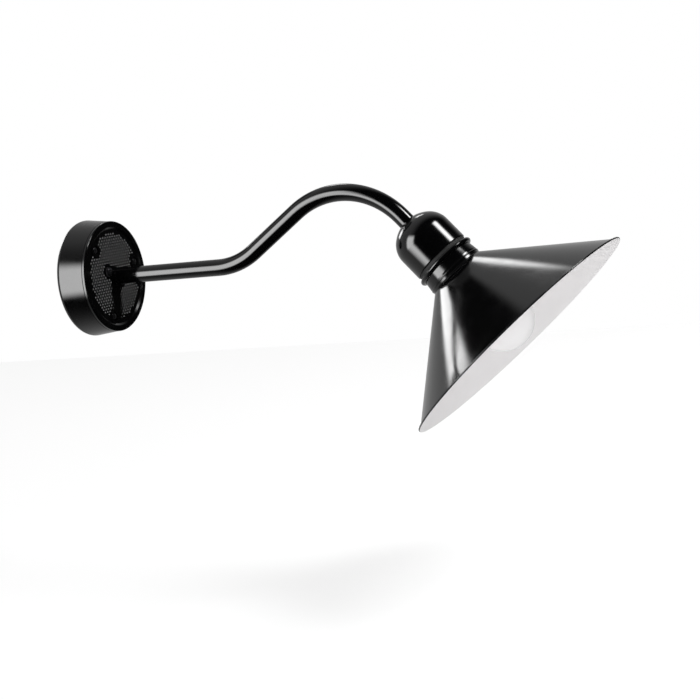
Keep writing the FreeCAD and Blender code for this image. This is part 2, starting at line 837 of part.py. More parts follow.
def make_arm_flange():
    """The round flange brazed on the tube behind the plate, tapped for the two arm screws."""
    body = new_body("arm_flange")
    wall.place(body)
    turn(body, rectangle(tube_bore, flange_back, size.flange_radius, field_back), "Ring")
    tapped = bore(body, "TappedHole", [(arm_screw_x, arm_screw_y)],
                  size.arm_screw_radius + size.thread_clearance)
    repeat(body, "TappedHoles", [tapped], 2)
    bore(body, "EarthHole", [(flange_earth_x, flange_earth_y)], size.earth_screw_radius + size.thread_clearance)


def make_arm_tube():
    """The gooseneck: a round tube that runs out, bends up, runs on and bends over and down into the cap."""
    body = new_body("arm_tube")
    spine = new_sketch(body, "BendLine", "YZ_Plane")
    bend_out = size.first_bend_start + size.first_bend_radius * sine(rise)
    bend_up = size.first_bend_radius * (as_size(1) - cosine(rise))
    diagonal_out = bend_out + size.diagonal_length * cosine(rise)
    diagonal_up = bend_up + size.diagonal_length * sine(rise)
    crest_out = diagonal_out + size.second_bend_radius * (sine(rise) + sine(fall))
    crest_up = diagonal_up + size.second_bend_radius * (cosine(fall) - cosine(rise))
    draw(spine, [
        (-tube_start, 0),
        (-size.first_bend_start, 0),
        (-bend_out, bend_up, size.first_bend_radius, -1),
        (-diagonal_out, diagonal_up),
        (-crest_out, crest_up, size.second_bend_radius, 1),
        (-tube_end_out, tube_end_up),
    ], closed=False)
    ring = new_sketch(body, "TubeSection", "XZ_Plane", tube_start)
    draw_circle(ring, 0, 0, size.tube_radius)
    draw_circle(ring, 0, 0, size.tube_radius - size.tube_wall)
    pipe = body.newObject("PartDesign::AdditivePipe", "Gooseneck")
    pipe.Profile = ring
    pipe.Spine = (spine, ["Edge1", "Edge2", "Edge3", "Edge4", "Edge5"])


def make_tube_end_bush():
    """The tapped bush pressed into the far end of the tube."""
    body = new_body("tube_end_bush")
    head.place(body)
    outer = size.tube_radius - size.tube_wall - size.fit_clearance
    turn(body, rectangle(nipple_hole, -size.end_length, outer, 0))


def make_leads():
    """The live and neutral leads, from the terminal block through the tube to the lampholder."""
    exit_height = nipple_end + size.lead_exit
    splay_height = exit_height + size.lead_splay
    block_mouth = size.block_length / 2 - size.block_offset
    for name, side in (("live_lead", 1), ("neutral_lead", -1)):
        pole = size.pole_pitch * side / 2
        inside = size.lead_spread * side
        holder_pole = size.holder_pole_radius * side
        points = [
            wall.point(pole, size.lead_radius - size.block_offset, barrel_axis),
            wall.point(pole, block_mouth + size.lead_run_out, barrel_axis),
            wall.point(inside, 0, barrel_axis + size.lead_rise),
            wall.point(inside, 0, corner_one),
            wall.point(inside, corner_two_up, corner_two_out),
            head.point(inside, 0, exit_height),
            head.point(holder_pole, 0, splay_height),
            head.point(holder_pole, 0, insert_top + size.holder_lead_depth),
        ]
        bends = [
            size.lead_bend_radius, size.lead_bend_radius,
            size.first_bend_radius, size.second_bend_radius,
            size.lead_splay_radius, size.lead_splay_radius,
        ]
        path = rounded_path(points, [bend.value for bend in bends])
        print("%s: %.0f mm long" % (name, path.Length))
        solid_piece(name, wire_solid(path, size.lead_radius.value))


def make_nipple():
    """The hollow threaded nipple that holds tube, cap and lampholder together."""
    body = new_body("threaded_nipple")
    head.place(body)
    turn(body, rectangle(size.nipple_bore_radius, -size.end_length, size.nipple_radius, nipple_end))


# ---------------------------------------------------------------- cap

def dome_knee(radius):
    """Where the crown arc of that radius meets the shoulder arc."""
    share = radius / (size.crown_radius - size.shoulder_radius)
    return shoulder_offset * share, crown_centre - shoulder_drop * share


def make_cap():
    """The domed cap: crown and shoulder arcs, a straight side, a seat for the tube and a spigot."""
    body = new_body("cap")
    head.place(body)
    outer_knee = dome_knee(size.crown_radius)
    inner_crown = size.crown_radius - size.cap_wall
    inner_knee = dome_knee(inner_crown)
    inner_radius = size.cap_radius - size.cap_wall
    spigot_bore = spigot_radius - size.spigot_wall
    root_slope = inner_radius - spigot_bore
    turn(body, [
        (tube_bore, 0),
        (tube_bore, crown_centre - root(square(size.crown_radius) - square(tube_bore))),
        (outer_knee[0], outer_knee[1], size.crown_radius, 1),
        (size.cap_radius, shoulder_centre, size.shoulder_radius, 1),
        (size.cap_radius, cap_edge - size.cap_edge_round),
        (size.cap_radius - size.cap_edge_round, cap_edge, size.cap_edge_round, 1),
        (spigot_radius, cap_edge),
        (spigot_radius, shade_top),
        (spigot_bore, shade_top),
        (spigot_bore, cap_edge - size.spigot_root),
        (inner_radius, cap_edge - size.spigot_root - root_slope),
        (inner_radius, shoulder_centre),
        (inner_knee[0], inner_knee[1], size.shoulder_radius - size.cap_wall, -1),
        (size.seat_boss_radius, crown_centre - root(square(inner_crown) - square(size.seat_boss_radius)),
         inner_crown, -1),
        (size.seat_boss_radius, size.seat_floor),
        (size.nipple_radius + size.hole_clearance, size.seat_floor),
        (size.nipple_radius + size.hole_clearance, 0),
    ], "Dome")


def make_cap_washer():
    """The washer under the nut inside the cap."""
    body = new_body("cap_washer")
    head.place(body)
    inner = size.nipple_radius + size.hole_clearance
    turn(body, rectangle(inner, size.seat_floor, size.cap_washer_radius, washer_top))


def make_cap_nut():
    """The hexagon nut that clamps the cap to the tube's end."""
    body = new_body("cap_nut")
    head.place(body)
    plan = new_sketch(body, "Hexagon", "XY_Plane", washer_top)
    reach = size.cap_nut_width / root(as_size(3))
    draw(plan, [(reach * cosine(turned), reach * sine(turned)) for turned in range(15, 375, 60)])
    draw_circle(plan, 0, 0, nipple_hole)
    feature(body, "Pad", "Nut", plan, Length=size.cap_nut_height)


# ---------------------------------------------------------------- lampholder

def make_holder_cap():
    """The cup that screws on the nipple and closes the lampholder behind its terminals."""
    body = new_body("lampholder_cap")
    head.place(body)
    top = size.holder_drop
    shoulder = top + size.holder_neck_height
    inside = shoulder + size.holder_wall
    round_radius = size.holder_wall
    turn(body, [
        (nipple_hole, top),
        (size.holder_neck_radius, top),
        (size.holder_neck_radius, shoulder),
        (size.holder_radius - round_radius, shoulder),
        (size.holder_radius, shoulder + round_radius, round_radius, 1),
        (size.holder_radius, skirt_top),
        (holder_bore, skirt_top),
        (holder_bore, inside),
        (size.holder_neck_radius, inside),
        (size.holder_neck_radius, top + size.holder_thread_depth),
        (nipple_hole, top + size.holder_thread_depth),
    ])


def make_holder_skirt():
    """The threaded skirt of the lampholder, which the shade ring screws on."""
    body = new_body("lampholder_skirt")
    head.place(body)
    lip = skirt_top + size.skirt_length
    lip_back_height = insert_mouth + size.fit_clearance
    turn(body, [
        (holder_bore, skirt_top),
        (size.holder_radius, skirt_top),
        (size.holder_radius, lip),
        (shell_outer + size.fit_clearance, lip),
        (shell_outer + size.fit_clearance, lip_back_height),
        (holder_bore, lip_back_height),
    ])


def make_holder_insert():
    """The porcelain insert: a thick disc that carries the terminals, and a sleeve round the lamp's thread."""
    body = new_body("lampholder_insert")
    head.place(body)
    outer = holder_bore - size.insert_clearance
    turn(body, [
        (0, insert_top),
        (outer, insert_top),
        (outer, insert_mouth),
        (shell_outer + size.fit_clearance, insert_mouth),
        (shell_outer + size.fit_clearance, insert_face),
        (0, insert_face),
    ], "Porcelain")
    poles = [(size.holder_pole_radius, 0), (-size.holder_pole_radius, 0)]
    blind(body, "LeadHoles", poles, size.lead_radius + size.hole_clearance, insert_top,
          size.holder_lead_depth + size.hole_clearance)
    x = size.holder_screw_circle * cosine(size.holder_screw_angle)
    y = size.holder_screw_circle * sine(size.holder_screw_angle)
    blind(body, "ScrewHoles", [(x, y), (-x, -y)], size.holder_screw_radius + size.thread_clearance, insert_top,
          size.holder_screw_reach + size.hole_clearance)
    blind(body, "RivetHole", [(rivet_x, 0)], size.rivet_radius + size.fit_clearance,
          insert_face - size.rivet_length, size.rivet_length)


def make_holder_shell():
    """The brass shell with the lamp's thread, lining the porcelain sleeve."""
    body = new_body("lampholder_shell")
    head.place(body)
    turn(body, rectangle(size.shell_bore_radius, insert_face, shell_outer, insert_face + size.shell_length))


def make_centre_contact():
    """The spring tongue that the lamp's tip rests against, with its rivet."""
    body = new_body("centre_contact")
    head.place(body)
    side = new_sketch(body, "Tongue", "XZ_Plane")
    thickness = size.contact_thickness
    touch = size.lamp_contact_drop - size.running_gap
    foot = -size.contact_span + size.contact_foot
    tip = size.contact_width / 2
    draw(side, [
        (-size.contact_span, insert_face),
        (foot, insert_face),
        (-tip, touch - thickness),
        (tip, touch - thickness),
        (tip, touch),
        (-tip - thickness / 2, touch),
        (foot - thickness / 2, insert_face + thickness),
        (-size.contact_span, insert_face + thickness),
    ])
    feature(body, "Pad", "Strip", side, Length=size.contact_width, Midplane=True)
    stud(body, "Rivet", [(rivet_x, 0)], size.rivet_radius, insert_face - size.rivet_length, size.rivet_length)


# ---------------------------------------------------------------- shade

def make_shade_gasket():
    """The rubber ring between the cap's edge and the shade's bead."""
    body = new_body("shade_gasket")
    head.place(body)
    stand = root(square(size.bead_radius) - square(size.bead_circle_radius - size.seal_radius))
    turn(body, rectangle(spigot_radius + size.fit_clearance, cap_edge, size.seal_radius,
                         bead_height - stand - size.seal_gap))


def make_shade():
    """The spun shade: a flange under the spigot, a swelling neck with its beads, a cone and a rolled rim."""
    body = new_body("shade")
    head.place(body)
    sheet_gauge = size.sheet_thickness
    swell = shade_top + size.neck_swell
    cone_top = shade_top + size.neck_length
    slope = (size.shade_rim_radius - size.neck_radius) / (size.shade_rim_drop - cone_top)
    level_gauge = sheet_gauge * root(square(slope) + 1)
    neck_bore = size.neck_radius - sheet_gauge
    turn(body, [
        (size.holder_radius + size.hole_clearance, shade_top),
        (size.neck_top_radius, shade_top),
        (size.neck_radius, swell),
        (size.neck_radius, cone_top),
        (size.shade_rim_radius - size.rim_bead_radius, size.shade_rim_drop),
        (size.shade_rim_radius - size.rim_bead_radius - level_gauge, size.shade_rim_drop),
        (neck_bore, cone_top + (level_gauge - sheet_gauge) / slope),
        (neck_bore, swell),
        (size.neck_top_radius - sheet_gauge, shade_top + sheet_gauge),
        (size.holder_radius + size.hole_clearance, shade_top + sheet_gauge),
    ], "Cone")
    turn_circle(body, "NeckRoll", size.bead_circle_radius, bead_height, size.bead_radius)
    turn_circle(body, "NeckBead", size.neck_radius + size.neck_bead_stand - size.neck_bead_radius,
                shade_top + size.neck_bead_drop, size.neck_bead_radius)
    turn_circle(body, "RimRoll", size.shade_rim_radius - size.rim_bead_radius,
                size.shade_rim_drop - size.rim_bead_radius, size.rim_bead_radius)


def make_shade_ring():
    """The ring nut on the lampholder's skirt that clamps the shade against the cap's spigot."""
    body = new_body("shade_ring")
    head.place(body)
    bore_radius = size.holder_radius + size.thread_clearance
    low = shade_top + size.sheet_thickness
    high = low + size.shade_ring_height
    step = size.shade_ring_step
    turn(body, [
        (bore_radius, low),
        (size.shade_ring_radius, low),
        (size.shade_ring_radius, high - step),
        (size.shade_ring_radius - step, high),
        (bore_radius, high),
    ])


# ---------------------------------------------------------------- lamp

def make_lamp_contact():
    """The soldered tip of the lamp."""
    body = new_body("lamp_contact")
    head.place(body)
    edge = size.lamp_contact_height / 2
    turn(body, [
        (0, size.lamp_contact_drop),
        (size.lamp_contact_radius - edge, size.lamp_contact_drop),
        (size.lamp_contact_radius, size.lamp_contact_drop + edge, edge, 1),
        (size.lamp_contact_radius, insulator_tip),
        (0, insulator_tip),
    ])


def make_lamp_insulator():
    """The glass insulator between the lamp's tip and its screw cap."""
    body = new_body("lamp_insulator")
    head.place(body)
    turn(body, [
        (0, insulator_tip),
        (size.lamp_contact_radius, insulator_tip),
        (size.lamp_insulator_radius, lamp_cap_low),
        (0, lamp_cap_low),
    ])


def make_lamp_cap():
    """The lamp's screw cap, a thin shell that flares where it holds the glass."""
    body = new_body("lamp_cap")
    head.place(body)
    gauge = size.lamp_cap_wall
    flare = size.lamp_cap_flare
    corner = flare
    turn(body, [
        (size.lamp_insulator_radius - flare, lamp_cap_low),
        (size.lamp_cap_radius - corner, lamp_cap_low),
        (size.lamp_cap_radius, lamp_cap_low + corner, corner, 1),
        (size.lamp_cap_radius, lamp_cap_high - flare * 2),
        (size.lamp_cap_radius + flare, lamp_cap_high),
        (size.lamp_cap_radius + flare - gauge, lamp_cap_high),
        (size.lamp_cap_radius - gauge, lamp_cap_high - flare * 2),
        (size.lamp_cap_radius - gauge, lamp_cap_low + corner),
        (size.lamp_insulator_radius - flare, lamp_cap_low + gauge),
    ])


def make_lamp_glass():
    """The opal bulb: a straight neck, a hollow curve and a globe, blown with an even wall."""
    body = new_body("lamp_glass")
    head.place(body)
    neck = size.lamp_cap_radius + size.lamp_cap_flare
    bend_start = lamp_cap_high + size.glass_neck_length
    drop = size.globe_drop - bend_start
    bend = (square(neck) + square(drop) - square(size.globe_radius)) / ((size.globe_radius - neck) * 2)
    centres = size.globe_radius + bend
    inner_globe = size.globe_radius - size.glass_wall

    def meeting(radius):
        """Where the hollow curve meets a globe of that radius."""
        share = radius / centres
        return (neck + bend) * share, size.globe_drop - drop * share

    outer_meeting = meeting(size.globe_radius)
    inner_meeting = meeting(inner_globe)
    turn(body, [
        (neck - size.glass_wall, lamp_cap_high),
        (neck, lamp_cap_high),
        (neck, bend_start),
        (outer_meeting[0], outer_meeting[1], bend, -1),
        (0, size.globe_drop + size.globe_radius, size.globe_radius, 1),
        (0, size.globe_drop + inner_globe),
        (inner_meeting[0], inner_meeting[1], inner_globe, -1),
        (neck - size.glass_wall, bend_start, bend + size.glass_wall, 1),
    ], "Bulb")


def make_lamp_stem():
    """The glass stem inside the bulb, flared where it is sealed to the neck."""
    body = new_body("lamp_stem")
    head.place(body)
    foot = size.lamp_cap_radius + size.lamp_cap_flare - size.glass_wall - size.fit_clearance
    turn(body, [
        (0, lamp_cap_high),
        (foot, lamp_cap_high),
        (foot, lamp_cap_high + size.glass_wall),
        (size.stem_tip_radius, lamp_cap_high + foot),
        (size.stem_tip_radius, stem_tip),
        (0, stem_tip),
    ])


def make_lamp_filament():
    """The filament on its two supports, as one bent wire that stands on the stem."""
    foot = size.stem_tip_radius - size.filament_wire_radius - size.filament_inset
    knee = stem_tip + size.filament_bend_radius
    high = stem_tip + size.filament_reach
    span = size.filament_span
    points = [(-foot, 0, stem_tip), (-foot, 0, knee), (-span, 0, high), (span, 0, high),
              (foot, 0, knee), (foot, 0, stem_tip)]
    path = rounded_path([head.point(*point) for point in points], [size.filament_bend_radius.value] * 4)
    solid_piece("lamp_filament", wire_solid(path, size.filament_wire_radius.value))


# ---------------------------------------------------------------- shared heights of the inner pieces

cover_seat = field_front + size.pad_height - size.counterbore_depth
arm_seat = field_front + size.arm_pad_height + size.arm_washer_thickness
block_top = floor_front + size.block_height
barrel_low = floor_front + size.barrel_height
barrel_top = barrel_low + size.barrel_side
barrel_axis = barrel_low + size.barrel_side / 2
terminal_spots = [
    (size.pole_pitch * side / 2, size.terminal_screw_spacing * row / 2 - size.block_offset)
    for side in (-1, 1) for row in (-1, 1)
]
box_earth_x = size.box_earth_circle * cosine(size.box_earth_angle)
box_earth_y = size.box_earth_circle * sine(size.box_earth_angle)
flange_earth_x = size.flange_earth_circle * cosine(size.flange_earth_angle)
flange_earth_y = size.flange_earth_circle * sine(size.flange_earth_angle)

nipple_hole = size.nipple_radius + size.thread_clearance
nipple_end = size.nipple_length - size.end_length
crown_centre = size.crown_radius - size.seat_depth
shoulder_offset = size.cap_radius - size.shoulder_radius
shoulder_drop = root(square(size.crown_radius - size.shoulder_radius) - square(shoulder_offset))
shoulder_centre = crown_centre - shoulder_drop
cap_edge = size.cap_length - size.seat_depth
shade_top = cap_edge + size.spigot_length
spigot_radius = size.neck_top_radius - size.sheet_thickness - size.spigot_clearance
washer_top = size.seat_floor + size.cap_washer_thickness
bead_height = cap_edge + size.bead_drop

skirt_top = size.holder_drop + size.holder_cap_height
holder_bore = size.holder_radius - size.holder_wall
insert_top = skirt_top + size.insert_clearance
insert_face = insert_top + size.insert_height
insert_mouth = insert_face + size.shell_length
shell_outer = size.shell_bore_radius + size.shell_thickness
rivet_x = -size.contact_span + size.contact_foot / 2

insulator_tip = size.lamp_contact_drop + size.lamp_contact_height
lamp_cap_low = insulator_tip + size.lamp_insulator_height
lamp_cap_high = lamp_cap_low + size.lamp_cap_length
stem_tip = lamp_cap_high + size.stem_length


# ---------------------------------------------------------------- the whole lamp

make_wall_box()
make_cable_grommet()
make_cover_gasket()
make_front_plate()
make_screw_ring("cover_screws", wall, 3, size.post_circle_radius, size.post_angle, cover_seat, 1,
                size.cover_screw_radius, size.cover_screw_length, size.cover_head_radius,
                size.cover_head_height)
make_screw_ring("arm_screws", wall, 2, size.arm_screw_circle, size.arm_screw_angle, arm_seat, 1,
                size.arm_screw_radius, size.arm_screw_length, size.arm_head_radius, size.arm_head_height)
make_arm_washers()
make_terminal_block()
make_terminal_barrels()
make_terminal_screws()
make_block_screw()
make_earth_tags()
make_earth_screws()
make_earth_lead()
make_arm_flange()
make_arm_tube()
make_tube_end_bush()
make_leads()
make_nipple()
make_cap()
make_cap_washer()
make_cap_nut()
make_holder_cap()
make_holder_skirt()
make_holder_insert()
make_holder_shell()
make_centre_contact()
make_screw_ring("lampholder_screws", head, 2, size.holder_screw_circle, size.holder_screw_angle, insert_top, -1,
                size.holder_screw_radius, size.holder_screw_reach, size.holder_head_radius,
                size.holder_head_height)
make_shade_gasket()
make_shade()
make_shade_ring()
make_lamp_contact()
make_lamp_insulator()
make_lamp_cap()
make_lamp_glass()
make_lamp_stem()
make_lamp_filament()

doc.recompute()
failed = [item.Label for item in doc.Objects if "Invalid" in item.State or "Error" in item.State]
failed += [piece.Label for piece in pieces if piece.Shape.isNull() or not piece.Shape.isValid()]
if failed:
    raise RuntimeError("these objects failed: %s" % ", ".join(failed))

os.makedirs("parts", exist_ok=True)
for piece in pieces:
    piece.Shape.exportStep(os.path.join("parts", piece.Label + ".step"))
print("%d pieces" % len(pieces))
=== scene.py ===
"""Gooseneck wall sconce: finishes, fine detail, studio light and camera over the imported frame."""
import json
import logging
import math
from dataclasses import dataclass
from enum import Enum
from typing import Callable, Iterable, Optional, Sequence, Union

import bmesh
import bpy
from mathutils import Matrix, Vector


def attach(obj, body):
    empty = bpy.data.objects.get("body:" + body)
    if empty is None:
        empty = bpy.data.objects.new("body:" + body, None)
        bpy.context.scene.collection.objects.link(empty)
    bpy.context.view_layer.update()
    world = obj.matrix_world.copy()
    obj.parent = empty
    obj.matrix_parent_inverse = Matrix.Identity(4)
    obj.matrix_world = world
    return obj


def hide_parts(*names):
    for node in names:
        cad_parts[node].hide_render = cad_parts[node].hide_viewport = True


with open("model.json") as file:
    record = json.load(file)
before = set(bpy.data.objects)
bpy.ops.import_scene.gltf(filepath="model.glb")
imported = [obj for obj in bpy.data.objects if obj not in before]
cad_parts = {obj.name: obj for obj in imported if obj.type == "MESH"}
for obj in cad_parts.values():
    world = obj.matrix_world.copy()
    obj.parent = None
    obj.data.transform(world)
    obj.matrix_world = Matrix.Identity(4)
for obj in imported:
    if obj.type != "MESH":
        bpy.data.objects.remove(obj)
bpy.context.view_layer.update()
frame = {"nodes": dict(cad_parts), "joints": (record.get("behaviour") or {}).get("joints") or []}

MM = 0.001
TURN = 2 * math.pi
FIXTURE = "fixture"
LAMP = "lamp"

log = logging.getLogger("wall_sconce")

Point = tuple[float, float]
Colour = tuple[float, float, float]
Number = Union[float, bpy.types.NodeSocket]
Paint = Union[tuple[float, ...], bpy.types.NodeSocket]

TINY = 1e-9
MERGE_DISTANCE = 1e-7
CUT_SHARP_ANGLE = 35.0
ROUND_SEGMENTS = 96
FIRST_TWIST = 23
NEXT_TWIST = 67
WHITE = (1.0, 1.0, 1.0, 1.0)
DUST_COLOUR = (0.42, 0.41, 0.39, 1.0)


# ---------------------------------------------------------------- shader graphs

class Graph:
    """A node tree with short calls for adding nodes and joining sockets."""

    def __init__(self, tree: bpy.types.NodeTree) -> None:
        """Keeps the tree.

        Args:
            tree: the node tree to fill.
        """
        self.tree = tree

    def add(self, kind: str, inputs: Optional[dict] = None, **settings) -> bpy.types.Node:
        """Adds a node.

        Args:
            kind: the node's type name without the ShaderNode prefix.
            inputs: socket name or number to a value, or to the socket that feeds it.
            settings: the node's own properties.

        Returns:
            The new node.
        """
        node = self.tree.nodes.new("ShaderNode" + kind)
        for name, value in settings.items():
            setattr(node, name, value)
        for name, value in (inputs or {}).items():
            if isinstance(value, bpy.types.NodeSocket):
                self.tree.links.new(value, node.inputs[name])
            else:
                node.inputs[name].default_value = value
        return node

    def math(self, operation: str, first: Number, second: Number = 0.0,
             clamp: bool = False) -> bpy.types.NodeSocket:
        """Adds a Math node and returns its value.

        Args:
            operation: the Math node's operation.
            first: a number or a socket.
            second: a number or a socket.
            clamp: whether the result is kept from 0 to 1.

        Returns:
            The node's output socket.
        """
        return self.add("Math", {0: first, 1: second}, operation=operation, use_clamp=clamp).outputs[0]

    def ramp(self, value: Number, low: float, high: float, bottom: float = 0.0,
             top: float = 1.0) -> bpy.types.NodeSocket:
        """Maps a value smoothly from one range to another.

        Args:
            value: the socket that is mapped.
            low: where the bottom value is reached.
            high: where the top value is reached.
            bottom: the result at low.
            top: the result at high.

        Returns:
            The mapped value.
        """
        inputs = {"Value": value, "From Min": low, "From Max": high, "To Min": bottom, "To Max": top}
        return self.add("MapRange", inputs, interpolation_type="SMOOTHSTEP").outputs["Result"]

    def blend(self, share: Number, first: Paint, second: Paint) -> bpy.types.NodeSocket:
        """Mixes two colours.

        Args:
            share: how much of the second colour shows.
            first: the first colour or its socket.
            second: the second colour or its socket.

        Returns:
            The mixed colour.
        """
        node = self.add("Mix", data_type="RGBA")
        # Sockets 6 and 7 are the node's two colours; its number sockets carry the same names.
        for number, value in ((0, share), (6, first), (7, second)):
            socket = node.inputs[number]
            if isinstance(value, bpy.types.NodeSocket):
                self.tree.links.new(value, socket)
            else:
                socket.default_value = value
        return node.outputs[2]


def new_group(name: str, inputs: dict[str, float], outputs: Iterable[str]) -> tuple[Graph, bpy.types.Node]:
    """Makes an empty shader group with number sockets.

    Args:
        name: the group's name.
        inputs: input name to its usual value.
        outputs: output names.

    Returns:
        The group's graph and its input node.
    """
    tree = bpy.data.node_groups.new(name, "ShaderNodeTree")
    for label, value in inputs.items():
        socket = tree.interface.new_socket(label, in_out="INPUT", socket_type="NodeSocketFloat")
        socket.default_value = value
    for label in outputs:
        tree.interface.new_socket(label, in_out="OUTPUT", socket_type="NodeSocketFloat")
    return Graph(tree), tree.nodes.new("NodeGroupInput")


def grain_group() -> bpy.types.NodeTree:
    """Makes the group for a surface's fine relief and its slow variation.

    Returns:
        A group that gives Relief and Variation, both from 0 to 1.
    """
    graph, given = new_group("surface_grain", {"Size": 1.0, "Stretch": 1.0}, ("Relief", "Variation"))
    place = graph.add("TexCoord").outputs["Object"]
    scale = graph.math("DIVIDE", 1000.0, given.outputs["Size"])
    lift = graph.add("CombineXYZ", {"X": 1.0, "Y": given.outputs["Stretch"], "Z": 1.0}).outputs[0]
    stretched = graph.add("VectorMath", {0: place, 1: lift}, operation="MULTIPLY").outputs[0]
    fine = graph.add("TexNoise", {"Vector": stretched, "Scale": scale, "Detail": 3.0, "Roughness": 0.55})
    slow = graph.add("TexNoise", {"Vector": place, "Scale": 38.0, "Detail": 4.0, "Roughness": 0.6})
    out = graph.tree.nodes.new("NodeGroupOutput")
    graph.tree.links.new(fine.outputs["Fac"], out.inputs["Relief"])
    graph.tree.links.new(graph.ramp(slow.outputs["Fac"], 0.3, 0.7), out.inputs["Variation"])
    return graph.tree


def dust_group() -> bpy.types.NodeTree:
    """Makes the group for the thin dust that settles on faces that look up.

    Returns:
        A group that gives Mask, from 0 to 1.
    """
    graph, given = new_group("settled_dust", {"Amount": 0.2, "Speck": 1.0}, ("Mask",))
    place = graph.add("TexCoord").outputs["Object"]
    facing = graph.add("SeparateXYZ", {0: graph.add("NewGeometry").outputs["Normal"]}).outputs["Z"]
    upward = graph.ramp(facing, 0.15, 0.95)
    scale = graph.math("DIVIDE", 1500.0, given.outputs["Speck"])
    specks = graph.add("TexNoise", {"Vector": place, "Scale": scale, "Detail": 2.0, "Roughness": 0.7})
    clouds = graph.add("TexNoise", {"Vector": place, "Scale": 55.0, "Detail": 3.0})
    spread = graph.math("MULTIPLY", graph.ramp(specks.outputs["Fac"], 0.5, 0.72),
                        graph.ramp(clouds.outputs["Fac"], 0.35, 0.75))
    mask = graph.math("MULTIPLY", graph.math("MULTIPLY", upward, spread), given.outputs["Amount"], clamp=True)
    out = graph.tree.nodes.new("NodeGroupOutput")
    graph.tree.links.new(mask, out.inputs["Mask"])
    return graph.tree


def edge_group() -> bpy.types.NodeTree:
    """Makes the group that finds worn edges from how sharply a surface bends outwards.

    Returns:
        A group that gives Mask, from 0 to 1.
    """
    graph, given = new_group("worn_edges", {"Amount": 0.3}, ("Mask",))
    place = graph.add("TexCoord").outputs["Object"]
    bend = graph.add("NewGeometry").outputs["Pointiness"]
    breaks = graph.add("TexNoise", {"Vector": place, "Scale": 420.0, "Detail": 3.0}).outputs["Fac"]
    worn = graph.math("MULTIPLY", graph.ramp(bend, 0.54, 0.62), graph.ramp(breaks, 0.35, 0.65))
    mask = graph.math("MULTIPLY", worn, given.outputs["Amount"], clamp=True)
    out = graph.tree.nodes.new("NodeGroupOutput")
    graph.tree.links.new(mask, out.inputs["Mask"])
    return graph.tree


class Effects:
    """The shared shader groups, each made once."""

    def __init__(self) -> None:
        """Makes the three groups."""
        self.grain = grain_group()
        self.dust = dust_group()
        self.edges = edge_group()


# ---------------------------------------------------------------- finishes

@dataclass(frozen=True)
class Finish:
    """A surface finish: its colour, its gloss and its fine relief.

    Sizes of relief are in millimetres; shares and roughness run from 0 to 1.
    """

    name: str
    colour: Colour
    roughness: float = 0.4
    roughness_spread: float = 0.06
    tone_spread: float = 0.08
    metallic: float = 0.0
    grain_size: float = 1.0
    grain_stretch: float = 1.0
    grain_depth: float = 0.01
    dust: float = 0.15
    edge_wear: float = 0.0
    edge_colour: Colour = (0.5, 0.5, 0.5)
    coat: float = 0.0
    coat_roughness: float = 0.05
    specular: float = 0.5

    def material(self, effects: Effects) -> bpy.types.Material:
        """Makes the material.

        Args:
            effects: the shared shader groups.

        Returns:
            The finished material.
        """
        made = bpy.data.materials.new(self.name)
        made.use_nodes = True
        graph = Graph(made.node_tree)
        shader = made.node_tree.nodes["Principled BSDF"]
        grain = graph.add("Group", node_tree=effects.grain)
        grain.inputs["Size"].default_value = self.grain_size
        grain.inputs["Stretch"].default_value = self.grain_stretch
        dust = graph.add("Group", node_tree=effects.dust)
        dust.inputs["Amount"].default_value = self.dust
        edges = graph.add("Group", node_tree=effects.edges)
        edges.inputs["Amount"].default_value = self.edge_wear
        shader.inputs["Metallic"].default_value = self.metallic
        shader.inputs["Specular IOR Level"].default_value = self.specular
        shader.inputs["Coat Weight"].default_value = self.coat
        shader.inputs["Coat Roughness"].default_value = self.coat_roughness
        tone = self.tone(graph, grain.outputs["Variation"])
        worn = graph.blend(edges.outputs["Mask"], tone, (*self.edge_colour, 1.0))
        dusty = graph.blend(dust.outputs["Mask"], worn, DUST_COLOUR)
        made.node_tree.links.new(dusty, shader.inputs["Base Color"])
        low = max(0.02, self.roughness - self.roughness_spread)
        rough = graph.ramp(grain.outputs["Variation"], 0.0, 1.0, low, self.roughness + self.roughness_spread)
        softened = graph.math("ADD", rough, graph.math("MULTIPLY", dust.outputs["Mask"], 0.5), clamp=True)
        made.node_tree.links.new(softened, shader.inputs["Roughness"])
        bump = graph.add("Bump", {"Height": grain.outputs["Relief"], "Distance": self.grain_depth * MM})
        made.node_tree.links.new(bump.outputs["Normal"], shader.inputs["Normal"])
        self.complete(graph, shader)
        return made

    def tone(self, graph: Graph, variation: bpy.types.NodeSocket) -> bpy.types.NodeSocket:
        """Gives the colour with its slow variation.

        Args:
            graph: the material's graph.
            variation: the grain group's slow variation.

        Returns:
            The colour's socket.
        """
        dark = tuple(channel * (1 - self.tone_spread) for channel in self.colour)
        light = tuple(min(1.0, channel * (1 + self.tone_spread)) for channel in self.colour)
        return graph.blend(variation, (*dark, 1.0), (*light, 1.0))

    def complete(self, graph: Graph, shader: bpy.types.Node) -> None:
        """Adds what only some finishes have; a plain finish adds nothing.

        Args:
            graph: the material's graph.
            shader: its Principled BSDF.
        """


@dataclass(frozen=True)
class GlassFinish(Finish):
    """A finish that lets light through, wholly or only a little, and may carry a painted glow of its own."""

    transmission: float = 1.0
    index: float = 1.5
    # glow: a painted glow, light that the glass gives off of its own though no lamp inside it is lit.
    glow: float = 0.0

    def complete(self, graph: Graph, shader: bpy.types.Node) -> None:
        """Sets the glass's own values, its painted glow among them.

        Args:
            graph: the material's graph.
            shader: its Principled BSDF.
        """
        shader.inputs["Transmission Weight"].default_value = self.transmission
        shader.inputs["IOR"].default_value = self.index
        # Painted glow: this emission makes the glass shine of itself, though the lamp is not lit.
        shader.inputs["Emission Color"].default_value = (*self.colour, 1.0)
        shader.inputs["Emission Strength"].default_value = self.glow


